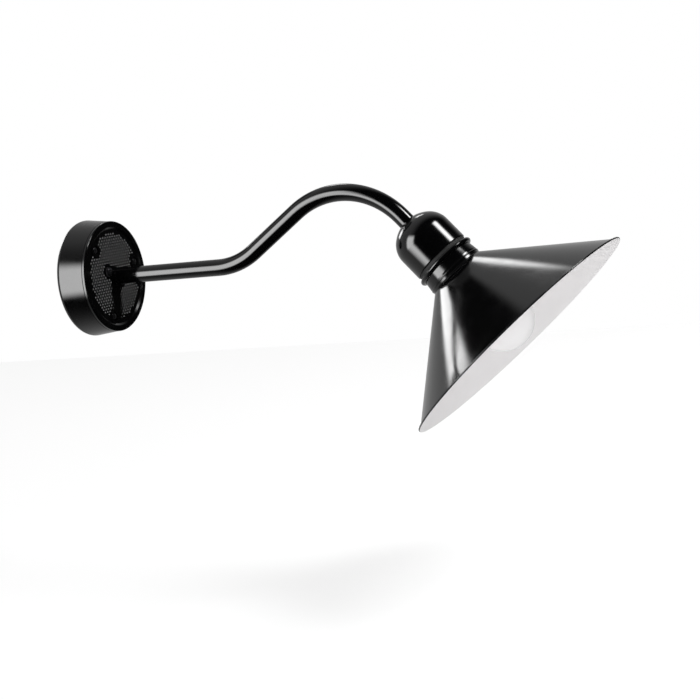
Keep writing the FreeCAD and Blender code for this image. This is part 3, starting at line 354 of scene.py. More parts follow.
@dataclass(frozen=True)
class StripedFinish(Finish):
    """Cable insulation with a second colour in bands along the lead."""

    stripe: Colour = (0.7, 0.6, 0.05)
    pitch: float = 6.0

    def tone(self, graph: Graph, variation: bpy.types.NodeSocket) -> bpy.types.NodeSocket:
        """Gives the two colours in bands.

        Args:
            graph: the material's graph.
            variation: the grain group's slow variation.

        Returns:
            The colour's socket.
        """
        place = graph.add("TexCoord").outputs["Object"]
        wave = graph.add("TexWave", {"Vector": place, "Scale": 1000.0 / (self.pitch * 20), "Distortion": 0.4})
        band = graph.ramp(wave.outputs["Fac"], 0.45, 0.55)
        return graph.blend(band, super().tone(graph, variation), (*self.stripe, 1.0))


BLACK_GLOSS = Finish("gloss_black_paint", (0.0012, 0.0012, 0.0014), 0.11, 0.02, grain_size=1.4,
                     grain_depth=0.0012, dust=0.006)
BLACK_CAST = Finish("gloss_black_casting", (0.0012, 0.0012, 0.0014), 0.14, 0.03, grain_size=0.9,
                    grain_depth=0.002, dust=0.006)
BLACK_PLATE = Finish("satin_black_plate", (0.0015, 0.0015, 0.0016), 0.2, 0.04, grain_size=0.7,
                     grain_depth=0.002, dust=0.004, specular=0.08)
BLACK_DIAMONDS = Finish("gloss_black_diamonds", (0.0012, 0.0012, 0.0014), 0.12, 0.03, grain_size=0.7,
                        grain_depth=0.001, dust=0.004, specular=0.16)
WHITE_ENAMEL = Finish("satin_white_enamel", (0.868, 0.852, 0.856), 0.34, 0.05, tone_spread=0.012,
                      grain_size=1.8, grain_depth=0.004, dust=0.03)
BLACK_SCREW = Finish("blackened_steel", (0.035, 0.035, 0.038), 0.24, 0.06, metallic=0.85, grain_size=0.4,
                     grain_depth=0.002, edge_wear=0.5, edge_colour=(0.28, 0.28, 0.29), dust=0.05)
ZINC = Finish("zinc_plate", (0.66, 0.67, 0.69), 0.3, 0.08, metallic=1.0, grain_size=0.5, grain_stretch=4.0,
              grain_depth=0.004, edge_wear=0.2, edge_colour=(0.8, 0.8, 0.8))
BRASS = Finish("rolled_brass", (0.78, 0.58, 0.27), 0.26, 0.08, metallic=1.0, grain_size=0.5,
               grain_stretch=5.0, grain_depth=0.003, edge_wear=0.2, edge_colour=(0.9, 0.75, 0.45))
TINNED = Finish("tinned_copper", (0.72, 0.71, 0.68), 0.35, 0.08, metallic=1.0, grain_size=0.6)
RUBBER = Finish("black_rubber", (0.012, 0.012, 0.012), 0.62, 0.1, grain_size=0.35, grain_depth=0.012,
                dust=0.25, specular=0.4)
WHITE_NYLON = Finish("white_nylon", (0.82, 0.82, 0.79), 0.48, 0.06, tone_spread=0.03, grain_size=0.5,
                     grain_depth=0.006)
BLACK_RESIN = Finish("black_moulded_resin", (0.016, 0.016, 0.017), 0.3, 0.08, grain_size=0.5,
                     grain_depth=0.005, edge_wear=0.08, edge_colour=(0.06, 0.06, 0.06), dust=0.1)
PORCELAIN = Finish("glazed_porcelain", (0.83, 0.81, 0.76), 0.3, 0.06, tone_spread=0.03, grain_size=1.2,
                   grain_depth=0.006, coat=0.8)
BROWN_LEAD = Finish("brown_insulation", (0.16, 0.06, 0.02), 0.4, 0.05, grain_size=0.6, grain_depth=0.004)
BLUE_LEAD = Finish("blue_insulation", (0.03, 0.1, 0.4), 0.4, 0.05, grain_size=0.6, grain_depth=0.004)
EARTH_LEAD = StripedFinish("green_yellow_insulation", (0.04, 0.28, 0.05), 0.4, 0.05, grain_size=0.6,
                           grain_depth=0.004, stripe=(0.75, 0.62, 0.04), pitch=2.4)
# The opal glass has a small painted glow (glow=0.05) that lifts it above what the lamps alone give, though
# the lamp is not lit.
OPAL = GlassFinish("opal_glass", (0.95, 0.94, 0.945), 0.16, 0.04, tone_spread=0.01, grain_size=3.0,
                   grain_depth=0.004, dust=0.02, transmission=0.0, glow=0.05, coat=0.5)
CLEAR = GlassFinish("clear_glass", (0.94, 0.97, 0.96), 0.04, 0.02, tone_spread=0.01, grain_size=3.0,
                    grain_depth=0.002, dust=0.0)
BLACK_GLASS = Finish("black_glass", (0.012, 0.012, 0.018), 0.1, 0.04, grain_size=1.2, grain_depth=0.003,
                     coat=0.6)
LAMP_METAL = Finish("rolled_aluminium", (0.8, 0.8, 0.81), 0.28, 0.07, metallic=1.0, grain_size=0.5,
                    grain_stretch=5.0, grain_depth=0.004, edge_wear=0.2, edge_colour=(0.9, 0.9, 0.9))
SOLDER = Finish("solder", (0.6, 0.6, 0.6), 0.4, 0.12, metallic=1.0, grain_size=1.2, grain_depth=0.03)
TUNGSTEN = Finish("tungsten", (0.3, 0.3, 0.32), 0.35, 0.08, metallic=1.0, grain_size=0.3)


# ---------------------------------------------------------------- mesh tools

def mesh_piece(name: str, points: Sequence[Vector], faces: Sequence[Sequence[int]],
               smooth_angle: float = 40.0, place: Optional[Matrix] = None) -> bpy.types.Object:
    """Makes a mesh object.

    Args:
        name: the piece's name.
        points: its corners in its own frame, in metres.
        faces: the corners of each face.
        smooth_angle: edges that bend more than this, in degrees, stay sharp.
        place: where the piece's own frame lies in the row frame.

    Returns:
        The new object, linked to the scene.
    """
    mesh = bpy.data.meshes.new(name)
    mesh.from_pydata([tuple(point) for point in points], [], [tuple(face) for face in faces])
    if place is not None:
        mesh.transform(place)
    tidy = bmesh.new()
    tidy.from_mesh(mesh)
    bmesh.ops.remove_doubles(tidy, verts=tidy.verts, dist=MERGE_DISTANCE)
    bmesh.ops.recalc_face_normals(tidy, faces=tidy.faces)
    tidy.to_mesh(mesh)
    tidy.free()
    mesh.shade_smooth()
    mesh.set_sharp_from_angle(angle=math.radians(smooth_angle))
    piece = bpy.data.objects.new(name, mesh)
    bpy.context.scene.collection.objects.link(piece)
    return piece


def turned_surface(outline: Sequence[Point], segments: int,
                   offset: Optional[Callable[[int, float], float]] = None
                   ) -> tuple[list[Vector], list[list[int]]]:
    """Turns a closed outline about the Z axis.

    Args:
        outline: (radius, height) corners in metres, as a closed loop that may touch the axis.
        segments: how many steps make the full turn.
        offset: gives what is added to a corner's radius from its number and the angle.

    Returns:
        The points and the faces.
    """
    points, faces = [], []
    count = len(outline)
    for step in range(segments):
        angle = TURN * step / segments
        for number, (radius, height) in enumerate(outline):
            reach = radius + (offset(number, angle) if offset else 0.0)
            points.append(Vector((reach * math.cos(angle), reach * math.sin(angle), height)))
    for step in range(segments):
        following = (step + 1) % segments
        for number in range(count):
            after = (number + 1) % count
            if outline[number][0] < TINY and outline[after][0] < TINY:
                continue
            faces.append([step * count + number, step * count + after,
                          following * count + after, following * count + number])
    return points, faces


def thread_depth(height: float, angle: float, pitch: float, depth: float) -> float:
    """How far a right-hand rolled thread falls below its crest.

    Args:
        height: the height along the axis, in metres.
        angle: the angle about the axis, in radians.
        pitch: the thread's pitch, in metres.
        depth: the thread's depth, in metres.

    Returns:
        The fall, from 0 at a crest to the depth at a root.
    """
    return depth * (0.5 - 0.5 * math.cos(TURN * height / pitch - angle))


def carve(target: bpy.types.Object, cutter: bpy.types.Object) -> None:
    """Cuts one closed piece out of another, and removes the cutter.

    Args:
        target: the piece that keeps its name.
        cutter: the piece that is cut away.
    """
    cut = target.modifiers.new("cut", "BOOLEAN")
    cut.operation = "DIFFERENCE"
    cut.solver = "EXACT"
    cut.object = cutter
    view = bpy.context.evaluated_depsgraph_get()
    result = bpy.data.meshes.new_from_object(target.evaluated_get(view))
    target.modifiers.remove(cut)
    target.data = result
    result.shade_smooth()
    result.set_sharp_from_angle(angle=math.radians(CUT_SHARP_ANGLE))
    bpy.data.objects.remove(cutter)


def join(name: str, pieces: Sequence[bpy.types.Object]) -> bpy.types.Object:
    """Joins pieces into one object.

    Args:
        name: the joined piece's name.
        pieces: the pieces, which are used up.

    Returns:
        The joined piece.
    """
    merged = bmesh.new()
    for piece in pieces:
        merged.from_mesh(piece.data)
        bpy.data.objects.remove(piece)
    mesh = bpy.data.meshes.new(name)
    merged.to_mesh(mesh)
    merged.free()
    mesh.shade_smooth()
    mesh.set_sharp_from_angle(angle=math.radians(CUT_SHARP_ANGLE))
    whole = bpy.data.objects.new(name, mesh)
    bpy.context.scene.collection.objects.link(whole)
    return whole


class Dresser:
    """Gives finishes to the frame's nodes and to new pieces, and reports each one."""

    def __init__(self) -> None:
        """Makes the shared effects and an empty store of materials."""
        self.effects = Effects()
        self.store: dict[str, bpy.types.Material] = {}

    def material(self, finish: Finish) -> bpy.types.Material:
        """Gives the finish's material, made on first use.

        Args:
            finish: the finish.

        Returns:
            Its material.
        """
        if finish.name not in self.store:
            self.store[finish.name] = finish.material(self.effects)
        return self.store[finish.name]

    def node(self, name: str, finish: Finish) -> bpy.types.Object:
        """Gives a node of the frame its finish.

        Args:
            name: the node's name.
            finish: its finish.

        Returns:
            The node's object.
        """
        piece = frame["nodes"][name]
        piece.data.materials.clear()
        piece.data.materials.append(self.material(finish))
        log.info("node %s: %s", name, finish.name)
        return piece

    def piece(self, made: bpy.types.Object, finish: Finish, body: str, slot: str,
              stands_for: str = "") -> None:
        """Finishes a new piece and ties it to its body.

        Args:
            made: the piece.
            finish: its finish.
            body: the body it moves with.
            slot: the record's material slot; it is not used.
            stands_for: the node that it replaces, if any.
        """
        made.data.materials.clear()
        made.data.materials.append(self.material(finish))
        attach(made, body)
        if stands_for:
            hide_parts(stands_for)
        log.info("piece %s on %s: %s", made.name, body, finish.name)


# ---------------------------------------------------------------- places

WALL_PLACE = Matrix.Rotation(math.radians(90), 4, "X")


def head_place() -> Matrix:
    """The head's own frame: its origin is the tube's end, its Z axis points out of the shade.

    Returns:
        The matrix from the head's frame to the row frame.
    """
    turn = next(joint for joint in frame["joints"] if joint["name"] == "lamp_turn")
    axis = Vector(turn["axis"])
    tilt = math.atan2(-axis.y, axis.z)
    origin = Vector(turn["pos_m"]) - axis * Lampholder.pivot_height * MM
    return Matrix.Translation(origin) @ Matrix.Rotation(tilt, 4, "X")


# ---------------------------------------------------------------- screws

@dataclass(frozen=True)
class PanScrew:
    """A pan-head screw with a cross recess and a rolled thread; sizes in millimetres."""

    shank: float
    head: float
    rise: float
    length: float
    pitch: float
    segments: int = 40
    turn_steps: int = 8
    crown_steps: int = 10
    thread_share: float = 0.16
    brim_share: float = 0.35
    plain_neck: float = 0.5
    recess_reach: float = 0.52
    recess_half: float = 0.105
    recess_top: float = 1.2
    recess_floor: float = 0.3
    recess_taper: float = 0.45

    def outline(self) -> list[Point]:
        """The screw's half section from its tip to the top of its head, with the seat at height 0.

        Returns:
            The section's corners as (radius, height), in metres.
        """
        steps = int(self.length / self.pitch * self.turn_steps)
        side = [(self.shank * MM, -self.length * MM * (1 - step / steps)) for step in range(steps + 1)]
        dome = 1 - self.brim_share
        crown = [(self.head * math.cos(angle) * MM,
                  self.rise * (self.brim_share + dome * math.sin(angle)) * MM)
                 for angle in (math.pi / 2 * step / self.crown_steps for step in range(self.crown_steps))]
        tip, seat, top = (0.0, -self.length * MM), (self.head * MM, 0.0), (0.0, self.rise * MM)
        return [tip] + side + [seat] + crown + [top]

    def make(self, name: str, place: Matrix) -> bpy.types.Object:
        """Makes one screw.

        Args:
            name: its name.
            place: its seat and direction in the row frame.

        Returns:
            The screw.
        """
        outline = self.outline()
        depth = self.shank * self.thread_share * MM

        def thread(number: int, angle: float) -> float:
            """The thread's fall for the shank's points.

            Args:
                number: the corner's number in the outline.
                angle: the angle about the axis, in radians.

            Returns:
                What is added to the radius, in metres.
            """
            radius, height = outline[number]
            if abs(radius - self.shank * MM) > TINY or height > -self.plain_neck * MM:
                return 0.0
            return -thread_depth(height, angle, self.pitch * MM, depth)

        points, faces = turned_surface(outline, self.segments, thread)
        screw = mesh_piece(name, points, faces, 35, place)
        carve(screw, self.recess(name + "_recess", place))
        return screw

    def recess(self, name: str, place: Matrix) -> bpy.types.Object:
        """Makes the tapered cross that is cut from the head.

        Args:
            name: its name.
            place: the screw's place.

        Returns:
            The cross as one closed piece.
        """
        arm, half = self.head * self.recess_reach * MM, self.head * self.recess_half * MM
        top, bottom = self.rise * self.recess_top * MM, self.rise * self.recess_floor * MM
        corners = [(half, half), (half, arm), (-half, arm), (-half, half), (-arm, half), (-arm, -half),
                   (-half, -half), (-half, -arm), (half, -arm), (half, -half), (arm, -half), (arm, half)]
        points = [Vector((x, y, top)) for x, y in corners]
        points += [Vector((x * self.recess_taper, y * self.recess_taper, bottom)) for x, y in corners]
        count = len(corners)
        faces = [list(range(count)), list(range(2 * count - 1, count - 1, -1))]
        faces += [[n, (n + 1) % count, (n + 1) % count + count, n + count] for n in range(count)]
        return mesh_piece(name, points, faces, 30, place)


def screw_ring(name: str, screw: PanScrew, place: Matrix, circle: float, angle: float, count: int, seat: float
               ) -> bpy.types.Object:
    """Makes screws evenly spread round an axis, each with its recess turned another way.

    Args:
        name: the joined piece's name.
        screw: the kind of screw.
        place: the frame that holds the ring's axis.
        circle: the ring's radius in millimetres.
        angle: the first screw's angle in degrees.
        count: how many screws there are.
        seat: the height of their seats in millimetres.

    Returns:
        All the screws as one piece.
    """
    made = []
    for number in range(count):
        around = math.radians(angle + 360 / count * number)
        spot = Vector((circle * math.cos(around), circle * math.sin(around), seat)) * MM
        twist = Matrix.Rotation(math.radians(FIRST_TWIST + NEXT_TWIST * number), 4, "Z")
        made.append(screw.make("%s_%d" % (name, number), place @ Matrix.Translation(spot) @ twist))
    return join(name, made)


# ---------------------------------------------------------------- sub-assemblies

@dataclass
class WallBox:
    """The cast box, its gasket and front plate with the raised diamond field; sizes in millimetres."""

    dresser: Dresser
    field_front: float = 34.1
    field_edge: float = 48.6
    flat_limit: float = 0.985
    diamond_pitch: float = 4.8
    row_pitch: float = 3.1
    diamond_half: float = 1.3
    diamond_rise: float = 0.68
    diamond_flat: float = 0.14
    diamond_room: float = 0.8
    diamond_sink: float = 0.05
    diamond_wall: float = 0.02
    bevel_share: float = 1.35
    bevel_level: float = 0.94
    cover_screw: PanScrew = PanScrew(shank=2.0, head=3.9, rise=2.3, length=15.0, pitch=0.7)
    cover_screw_count: int = 3
    screw_circle: float = 45.0
    screw_angle: float = 15.0
    screw_seat: float = 32.6
    pad_reach: float = 8.2
    arm_screw: PanScrew = PanScrew(shank=2.5, head=4.4, rise=2.8, length=8.0, pitch=0.8)
    arm_screw_count: int = 2
    arm_screw_circle: float = 14.8
    arm_screw_angle: float = 155.0
    arm_screw_seat: float = 35.9
    arm_pad_reach: float = 6.8
    tube_reach: float = 9.6

    def build(self) -> None:
        """Dresses the nodes and adds the diamond field and the screws."""
        self.dresser.node("wall_box", BLACK_CAST)
        plate = self.dresser.node("front_plate", BLACK_PLATE)
        plate.data.materials.append(self.dresser.material(BLACK_CAST))
        for face in plate.data.polygons:
            face.material_index = 1 if abs(face.normal.y) < self.flat_limit else 0
        for name in ("cable_grommet", "cover_gasket"):
            self.dresser.node(name, RUBBER)
        self.dresser.node("arm_washers", BLACK_SCREW)
        self.dresser.piece(self.diamond_field(), BLACK_DIAMONDS, FIXTURE, "black_castings")
        cover = screw_ring("cover_screw_set", self.cover_screw, WALL_PLACE, self.screw_circle,
                           self.screw_angle, self.cover_screw_count, self.screw_seat)
        self.dresser.piece(cover, BLACK_SCREW, FIXTURE, "black_screws", "cover_screws")
        arm = screw_ring("arm_screw_set", self.arm_screw, WALL_PLACE, self.arm_screw_circle,
                         self.arm_screw_angle, self.arm_screw_count, self.arm_screw_seat)
        self.dresser.piece(arm, BLACK_SCREW, FIXTURE, "black_screws", "arm_screws")

    def clear_spots(self) -> list[tuple[float, float, float]]:
        """The round places that the diamonds leave smooth: round the tube and the screws.

        Returns:
            Each place as (x, y, radius), in millimetres.
        """
        spots = [(0.0, 0.0, self.tube_reach)]
        cover = (self.screw_circle, self.screw_angle, self.cover_screw_count, self.pad_reach)
        arm = (self.arm_screw_circle, self.arm_screw_angle, self.arm_screw_count, self.arm_pad_reach)
        for circle, angle, count, reach in (cover, arm):
            for number in range(count):
                around = math.radians(angle + 360 / count * number)
                spots.append((circle * math.cos(around), circle * math.sin(around), reach))
        return spots

    def diamond_field(self) -> bpy.types.Object:
        """Makes the staggered diamonds of the plate's field, each a low pyramid with a flat top.

        Returns:
            The field as one piece.
        """
        spots = self.clear_spots()
        rows = int(self.field_edge / self.row_pitch) + 1
        columns = int(self.field_edge / self.diamond_pitch) + 1
        points, faces = [], []
        for row in range(-rows, rows + 1):
            for column in range(-columns, columns + 1):
                x = (column + (0.5 if row % 2 else 0.0)) * self.diamond_pitch
                y = row * self.row_pitch
                reach = self.diamond_half * self.diamond_room
                if math.hypot(x, y) + reach > self.field_edge:
                    continue
                if any(math.hypot(x - sx, y - sy) < clear + reach for sx, sy, clear in spots):
                    continue
                self.add_diamond(points, faces, x, y)
        return mesh_piece("plate_diamonds", points, faces, 20, WALL_PLACE)

    def add_diamond(self, points: list[Vector], faces: list[list[int]], x: float, y: float) -> None:
        """Adds one diamond to the lists.

        Args:
            points: the corners so far.
            faces: the faces so far.
            x: the diamond's centre.
            y: the diamond's centre.
        """
        first = len(points)
        front = self.field_front
        levels = ((1.0, front - self.diamond_sink), (1.0, front + self.diamond_wall),
                  (self.diamond_flat * self.bevel_share, front + self.diamond_rise * self.bevel_level),
                  (self.diamond_flat, front + self.diamond_rise))
        for share, level in levels:
            half = self.diamond_half * share
            for dx, dy in ((half, 0), (0, half), (-half, 0), (0, -half)):
                points.append(Vector((x + dx, y + dy, level)) * MM)
        for level in range(3):
            base = first + level * 4
            faces.extend([base + n, base + (n + 1) % 4, base + 4 + (n + 1) % 4, base + 4 + n]
                         for n in range(4))
        faces.append([first + 12 + n for n in range(4)])
        faces.append([first + 3 - n for n in range(4)])


@dataclass
class Wiring:
    """The terminal block, the earth tags and the leads."""

    dresser: Dresser

    def build(self) -> None:
        """Dresses the wiring's nodes."""
        for name, finish in (("terminal_block", WHITE_NYLON), ("terminal_barrels", BRASS),
                             ("terminal_screws", ZINC), ("block_screw", ZINC), ("earth_tags", TINNED),
                             ("earth_screws", ZINC), ("earth_lead", EARTH_LEAD), ("live_lead", BROWN_LEAD),
                             ("neutral_lead", BLUE_LEAD)):
            self.dresser.node(name, finish)


@dataclass
class Arm:
    """The bent tube with its flange, end bush and nipple."""

    dresser: Dresser

    def build(self) -> None:
        """Dresses the arm's nodes."""
        self.dresser.node("arm_tube", BLACK_GLOSS)
        self.dresser.node("arm_flange", BLACK_GLOSS)
        for name in ("tube_end_bush", "threaded_nipple", "cap_washer", "cap_nut"):
            self.dresser.node(name, ZINC)
        self.dresser.node("cap", BLACK_GLOSS)


@dataclass
class Shade:
    """The spun shade, black outside and white inside, with its gasket and clamping ring."""

    dresser: Dresser
    ring_low: float = 57.65
    ring_height: float = 6.0
    ring_bore: float = 19.9
    ring_radius: float = 26.0
    ring_step: float = 1.5
    grips: int = 28
    grip_depth: float = 0.7
    grip_steps: int = 10
    ring_gap: float = 0.1
    ring_edge: float = 0.4
    ring_bevel: float = 0.3
    mouth_edge: float = 0.5
    rim_drop: float = 160.6
    rim_facing: float = 0.5
    rim_outward: float = 0.35

    def build(self) -> None:
        """Dresses the shade's nodes and makes the gripped ring."""
        shade = self.dresser.node("shade", BLACK_GLOSS)
        shade.data.materials.append(self.dresser.material(WHITE_ENAMEL))
        self.paint_inside(shade)
        self.dresser.node("shade_gasket", RUBBER)
        self.dresser.piece(self.gripped_ring(), BLACK_RESIN, FIXTURE, "black_plastic", "shade_ring")

    def paint_inside(self, shade: bpy.types.Object) -> None:
        """Gives the faces that look towards the axis the second material.

        Args:
            shade: the shade's node.
        """
        inwards = head_place().inverted()
        turned = inwards.to_3x3()
        for face in shade.data.polygons:
            centre = inwards @ face.center
            normal = turned @ face.normal
            outward = normal.dot(Vector((centre.x, centre.y, 0.0)).normalized())
            forward = normal.z > self.rim_facing and outward < self.rim_outward
            rim_front = centre.z > self.rim_drop * MM and forward
            beyond_rolls = centre.z > self.ring_low * MM
            face.material_index = 1 if (outward < 0 and beyond_rolls) or rim_front else 0

    def gripped_ring(self) -> bpy.types.Object:
        """Makes the clamping ring with finger grips round its edge.

        Returns:
            The ring.
        """
        low, high = self.ring_low * MM, (self.ring_low + self.ring_height - self.ring_gap) * MM
        outer, step, bore = self.ring_radius * MM, self.ring_step * MM, self.ring_bore * MM
        edge, mouth, bevel = self.ring_edge * MM, self.mouth_edge * MM, step * self.ring_bevel
        outline = [(bore, low), (outer - edge, low), (outer, low + edge), (outer, high - step),
                   (outer - bevel, high - bevel), (outer - step, high), (bore + mouth, high),
                   (bore, high - mouth)]

        def grip(number: int, angle: float) -> float:
            """How far the edge falls back between two grips.

            Args:
                number: the corner's number in the outline.
                angle: the angle about the axis, in radians.

            Returns:
                What is added to the radius, in metres.
            """
            if outline[number][0] < outer - step * 0.5:
                return 0.0
            return -self.grip_depth * MM * (0.5 - 0.5 * math.cos(angle * self.grips)) ** 2

        points, faces = turned_surface(outline, self.grips * self.grip_steps, grip)
        return mesh_piece("gripped_shade_ring", points, faces, 35, head_place())


@dataclass
class Lampholder:
    """The lampholder with its threads; heights are along the head's axis, in millimetres."""

    dresser: Dresser
    pivot_height: float = 54.0
    pitch: float = 3.629
    thread: float = 0.72
    shell_bore: float = 13.45
    shell_gauge: float = 0.5
    shell_low: float = 50.15
    shell_high: float = 72.55
    skirt_bore: float = 17.6
    skirt_radius: float = 19.8
    skirt_low: float = 36.0
    skirt_high: float = 74.2
    skirt_mouth: float = 14.0
    skirt_lip: float = 72.6
    skirt_pitch: float = 2.5
    skirt_thread: float = 0.55
    skirt_edge: float = 0.4
    skirt_fade: float = 2.0
    shell_turn_steps: int = 12
    skirt_turn_steps: int = 10

    def build(self) -> None:
        """Dresses the lampholder's nodes and makes the threaded skirt and shell."""
        self.dresser.node("lampholder_cap", BLACK_RESIN)
        self.dresser.node("lampholder_insert", PORCELAIN)
        for name in ("centre_contact", "lampholder_screws"):
            self.dresser.node(name, BRASS)
        self.dresser.piece(self.threaded_skirt(), BLACK_RESIN, FIXTURE, "black_plastic", "lampholder_skirt")
        self.dresser.piece(self.threaded_shell(), BRASS, FIXTURE, "brass", "lampholder_shell")

    def threaded_shell(self) -> bpy.types.Object:
        """Makes the brass shell whose thread the lamp turns in.

        Returns:
            The shell.
        """
        steps = int((self.shell_high - self.shell_low) / self.pitch * self.shell_turn_steps)
        rise = (self.shell_high - self.shell_low) / steps
        heights = [(self.shell_low + rise * step) * MM for step in range(steps + 1)]
        inner = [(self.shell_bore * MM, height) for height in heights]
        outer = [((self.shell_bore + self.shell_gauge) * MM, height) for height in reversed(heights)]
        outline = inner + outer

        def wave(number: int, angle: float) -> float:
            """The thread's fall on both skins of the sheet.

            Args:
                number: the corner's number in the outline.
                angle: the angle about the axis, in radians.

            Returns:
                What is added to the radius, in metres.
            """
            return -thread_depth(outline[number][1], angle, self.pitch * MM, self.thread * MM)

        points, faces = turned_surface(outline, ROUND_SEGMENTS, wave)
        return mesh_piece("threaded_shell", points, faces, 40, head_place())

    def threaded_skirt(self) -> bpy.types.Object:
        """Makes the skirt with the thread that the clamping ring turns on.

        Returns:
            The skirt.
        """
        steps = int((self.skirt_high - self.skirt_low) / self.skirt_pitch * self.skirt_turn_steps)
        rise = (self.skirt_high - self.skirt_low) / steps
        side = [(self.skirt_radius * MM, (self.skirt_low + rise * step) * MM) for step in range(steps + 1)]
        outline = [(self.skirt_bore * MM, self.skirt_low * MM)] + side
        outline += [((self.skirt_mouth + self.skirt_edge) * MM, self.skirt_high * MM),
                    (self.skirt_mouth * MM, (self.skirt_high - self.skirt_edge) * MM),
                    (self.skirt_mouth * MM, self.skirt_lip * MM), (self.skirt_bore * MM, self.skirt_lip * MM)]

        def wave(number: int, angle: float) -> float:
            """The thread's fall on the outer side, clear of both ends.

            Args:
                number: the corner's number in the outline.
                angle: the angle about the axis, in radians.

            Returns:
                What is added to the radius, in metres.
            """
            radius, height = outline[number]
            if radius < self.skirt_radius * MM - TINY:
                return 0.0
            nearest = min(height - self.skirt_low * MM, self.skirt_high * MM - height)
            ends = nearest / (self.skirt_fade * MM)
            fade = max(0.0, min(1.0, ends))
            return -thread_depth(height, angle, self.skirt_pitch * MM, self.skirt_thread * MM) * fade

        points, faces = turned_surface(outline, ROUND_SEGMENTS, wave)
        return mesh_piece("threaded_skirt", points, faces, 40, head_place())


@dataclass
class Lamp:
    """The opal lamp that screws into the holder; heights are along the head's axis, in millimetres."""

    dresser: Dresser
    pitch: float = 3.629
    thread: float = 0.72
    cap_radius: float = 13.1
    cap_low: float = 56.4
    cap_high: float = 78.4
    thread_end: float = 74.4
    thread_fade: float = 1.2
    turn_steps: int = 12
    cap_gauge: float = 0.4
    flare: float = 0.9
    seat_radius: float = 10.2

    def build(self) -> None:
        """Dresses the lamp's nodes and makes its rolled cap."""
        for name, finish in (("lamp_glass", OPAL), ("lamp_stem", CLEAR), ("lamp_filament", TUNGSTEN),
                             ("lamp_insulator", BLACK_GLASS)):
            self.dresser.node(name, finish)
        self.dresser.node("lamp_contact", SOLDER)
        self.dresser.piece(self.rolled_cap(), LAMP_METAL, LAMP, "lamp_cap_metal", "lamp_cap")

    def rolled_cap(self) -> bpy.types.Object:
        """Makes the lamp's cap as rolled sheet with its thread.

        Returns:
            The cap.
        """
        start = self.cap_low + self.flare
        steps = int((self.thread_end - start) / self.pitch * self.turn_steps)
        rise = (self.thread_end - start) / steps
        side = [(self.cap_radius, start + rise * step) for step in range(steps + 1)]
        outer = [(self.seat_radius, self.cap_low), (self.cap_radius - self.flare, self.cap_low)] + side
        outer += [(self.cap_radius, self.cap_high - self.flare * 2),
                  (self.cap_radius + self.flare, self.cap_high)]
        inner = [(radius - self.cap_gauge, height) if height > self.cap_low
                 else (radius, height + self.cap_gauge) for radius, height in reversed(outer)]
        outline = [(radius * MM, height * MM) for radius, height in outer + inner]

        def wave(number: int, angle: float) -> float:
            """The thread's fall, which starts at root depth at the foot and ends at the plain collar.

            Args:
                number: the corner's number in the outline.
                angle: the angle about the axis, in radians.

            Returns:
                What is added to the radius, in metres.
            """
            height = outline[number][1] / MM
            if height < start - TINY / MM:
                return 0.0
            fall = thread_depth(height * MM, angle, self.pitch * MM, self.thread * MM)
            foot = min(1.0, (height - start) / self.thread_fade)
            collar = max(0.0, min(1.0, (self.thread_end - height) / self.thread_fade))
            return -(self.thread * MM * (1.0 - foot) + fall * foot) * collar

        points, faces = turned_surface(outline, ROUND_SEGMENTS, wave)
        return mesh_piece("rolled_lamp_cap", points, faces, 40, head_place())


# ---------------------------------------------------------------- light, floor and camera

class Reach(Enum):
    """Which rays a background answers."""

    CAMERA = "Is Camera Ray"
    GLOSSY = "Is Glossy Ray"
    TRANSMISSION = "Is Transmission Ray"


@dataclass(frozen=True)
class Softbox:
    """A large soft light, placed by where it is seen from the head; angles in degrees.

    Azimuth 0 is straight out of the wall, and 90 is along +X.
    """

    name: str
    azimuth: float
    elevation: float
    wide: float
    tall: float
    radiance: float
    softness: float = 0.6
    distance: float = 3.0
    lights_matt: bool = False

    def make(self, centre: Vector) -> bpy.types.Object:
        """Makes the lamp.

        Args:
            centre: the point that it faces.

        Returns:
            The lamp's object.
        """
        data = bpy.data.lights.new(self.name, "AREA")
        data.shape = "RECTANGLE"
        data.size = 2 * self.distance * math.tan(math.radians(self.wide / 2))
        data.size_y = 2 * self.distance * math.tan(math.radians(self.tall / 2))
        data.energy = self.radiance * math.pi * data.size * data.size_y
        self.soften(data)
        lamp = bpy.data.objects.new(self.name, data)
        towards = direction(self.azimuth, self.elevation)
        lamp.location = centre + towards * self.distance
        lamp.rotation_mode = "QUATERNION"
        lamp.rotation_quaternion = towards.to_track_quat("Z", "Y")
        lamp.visible_camera = False
        lamp.visible_diffuse = self.lights_matt
        bpy.context.scene.collection.objects.link(lamp)
        return lamp

    def soften(self, data: bpy.types.Light) -> None:
        """Lets the lamp fall off towards its edges, as a diffuser does.

        Args:
            data: the lamp's data.
        """
        data.use_nodes = True
        data.node_tree.nodes.clear()
        graph = Graph(data.node_tree)
        across = graph.add("SeparateXYZ", {0: graph.add("NewGeometry").outputs["Parametric"]})
        shares = []
        for side in ("X", "Y"):
            off = graph.math("ABSOLUTE", graph.math("SUBTRACT", across.outputs[side], 0.5))
            shares.append(graph.ramp(off, 0.5 - 0.5 * self.softness, 0.5, 1.0, 0.0))
        glow = graph.add("Emission", {"Strength": graph.math("MULTIPLY", shares[0], shares[1])})
        graph.add("OutputLight", {"Surface": glow.outputs[0]})


def direction(azimuth: float, elevation: float) -> Vector:
    """A unit direction from its azimuth and elevation.

    Args:
        azimuth: degrees from straight out of the wall, positive towards +X.
        elevation: degrees above the horizon.

    Returns:
        The direction.
    """
    around, above = math.radians(azimuth), math.radians(elevation)
    return Vector((math.sin(around) * math.cos(above), -math.cos(around) * math.cos(above), math.sin(above)))


def grey(tone: float) -> tuple[float, float, float, float]:
    """A grey as a socket takes it, from its tone."""
    return (tone, tone, tone, 1.0)


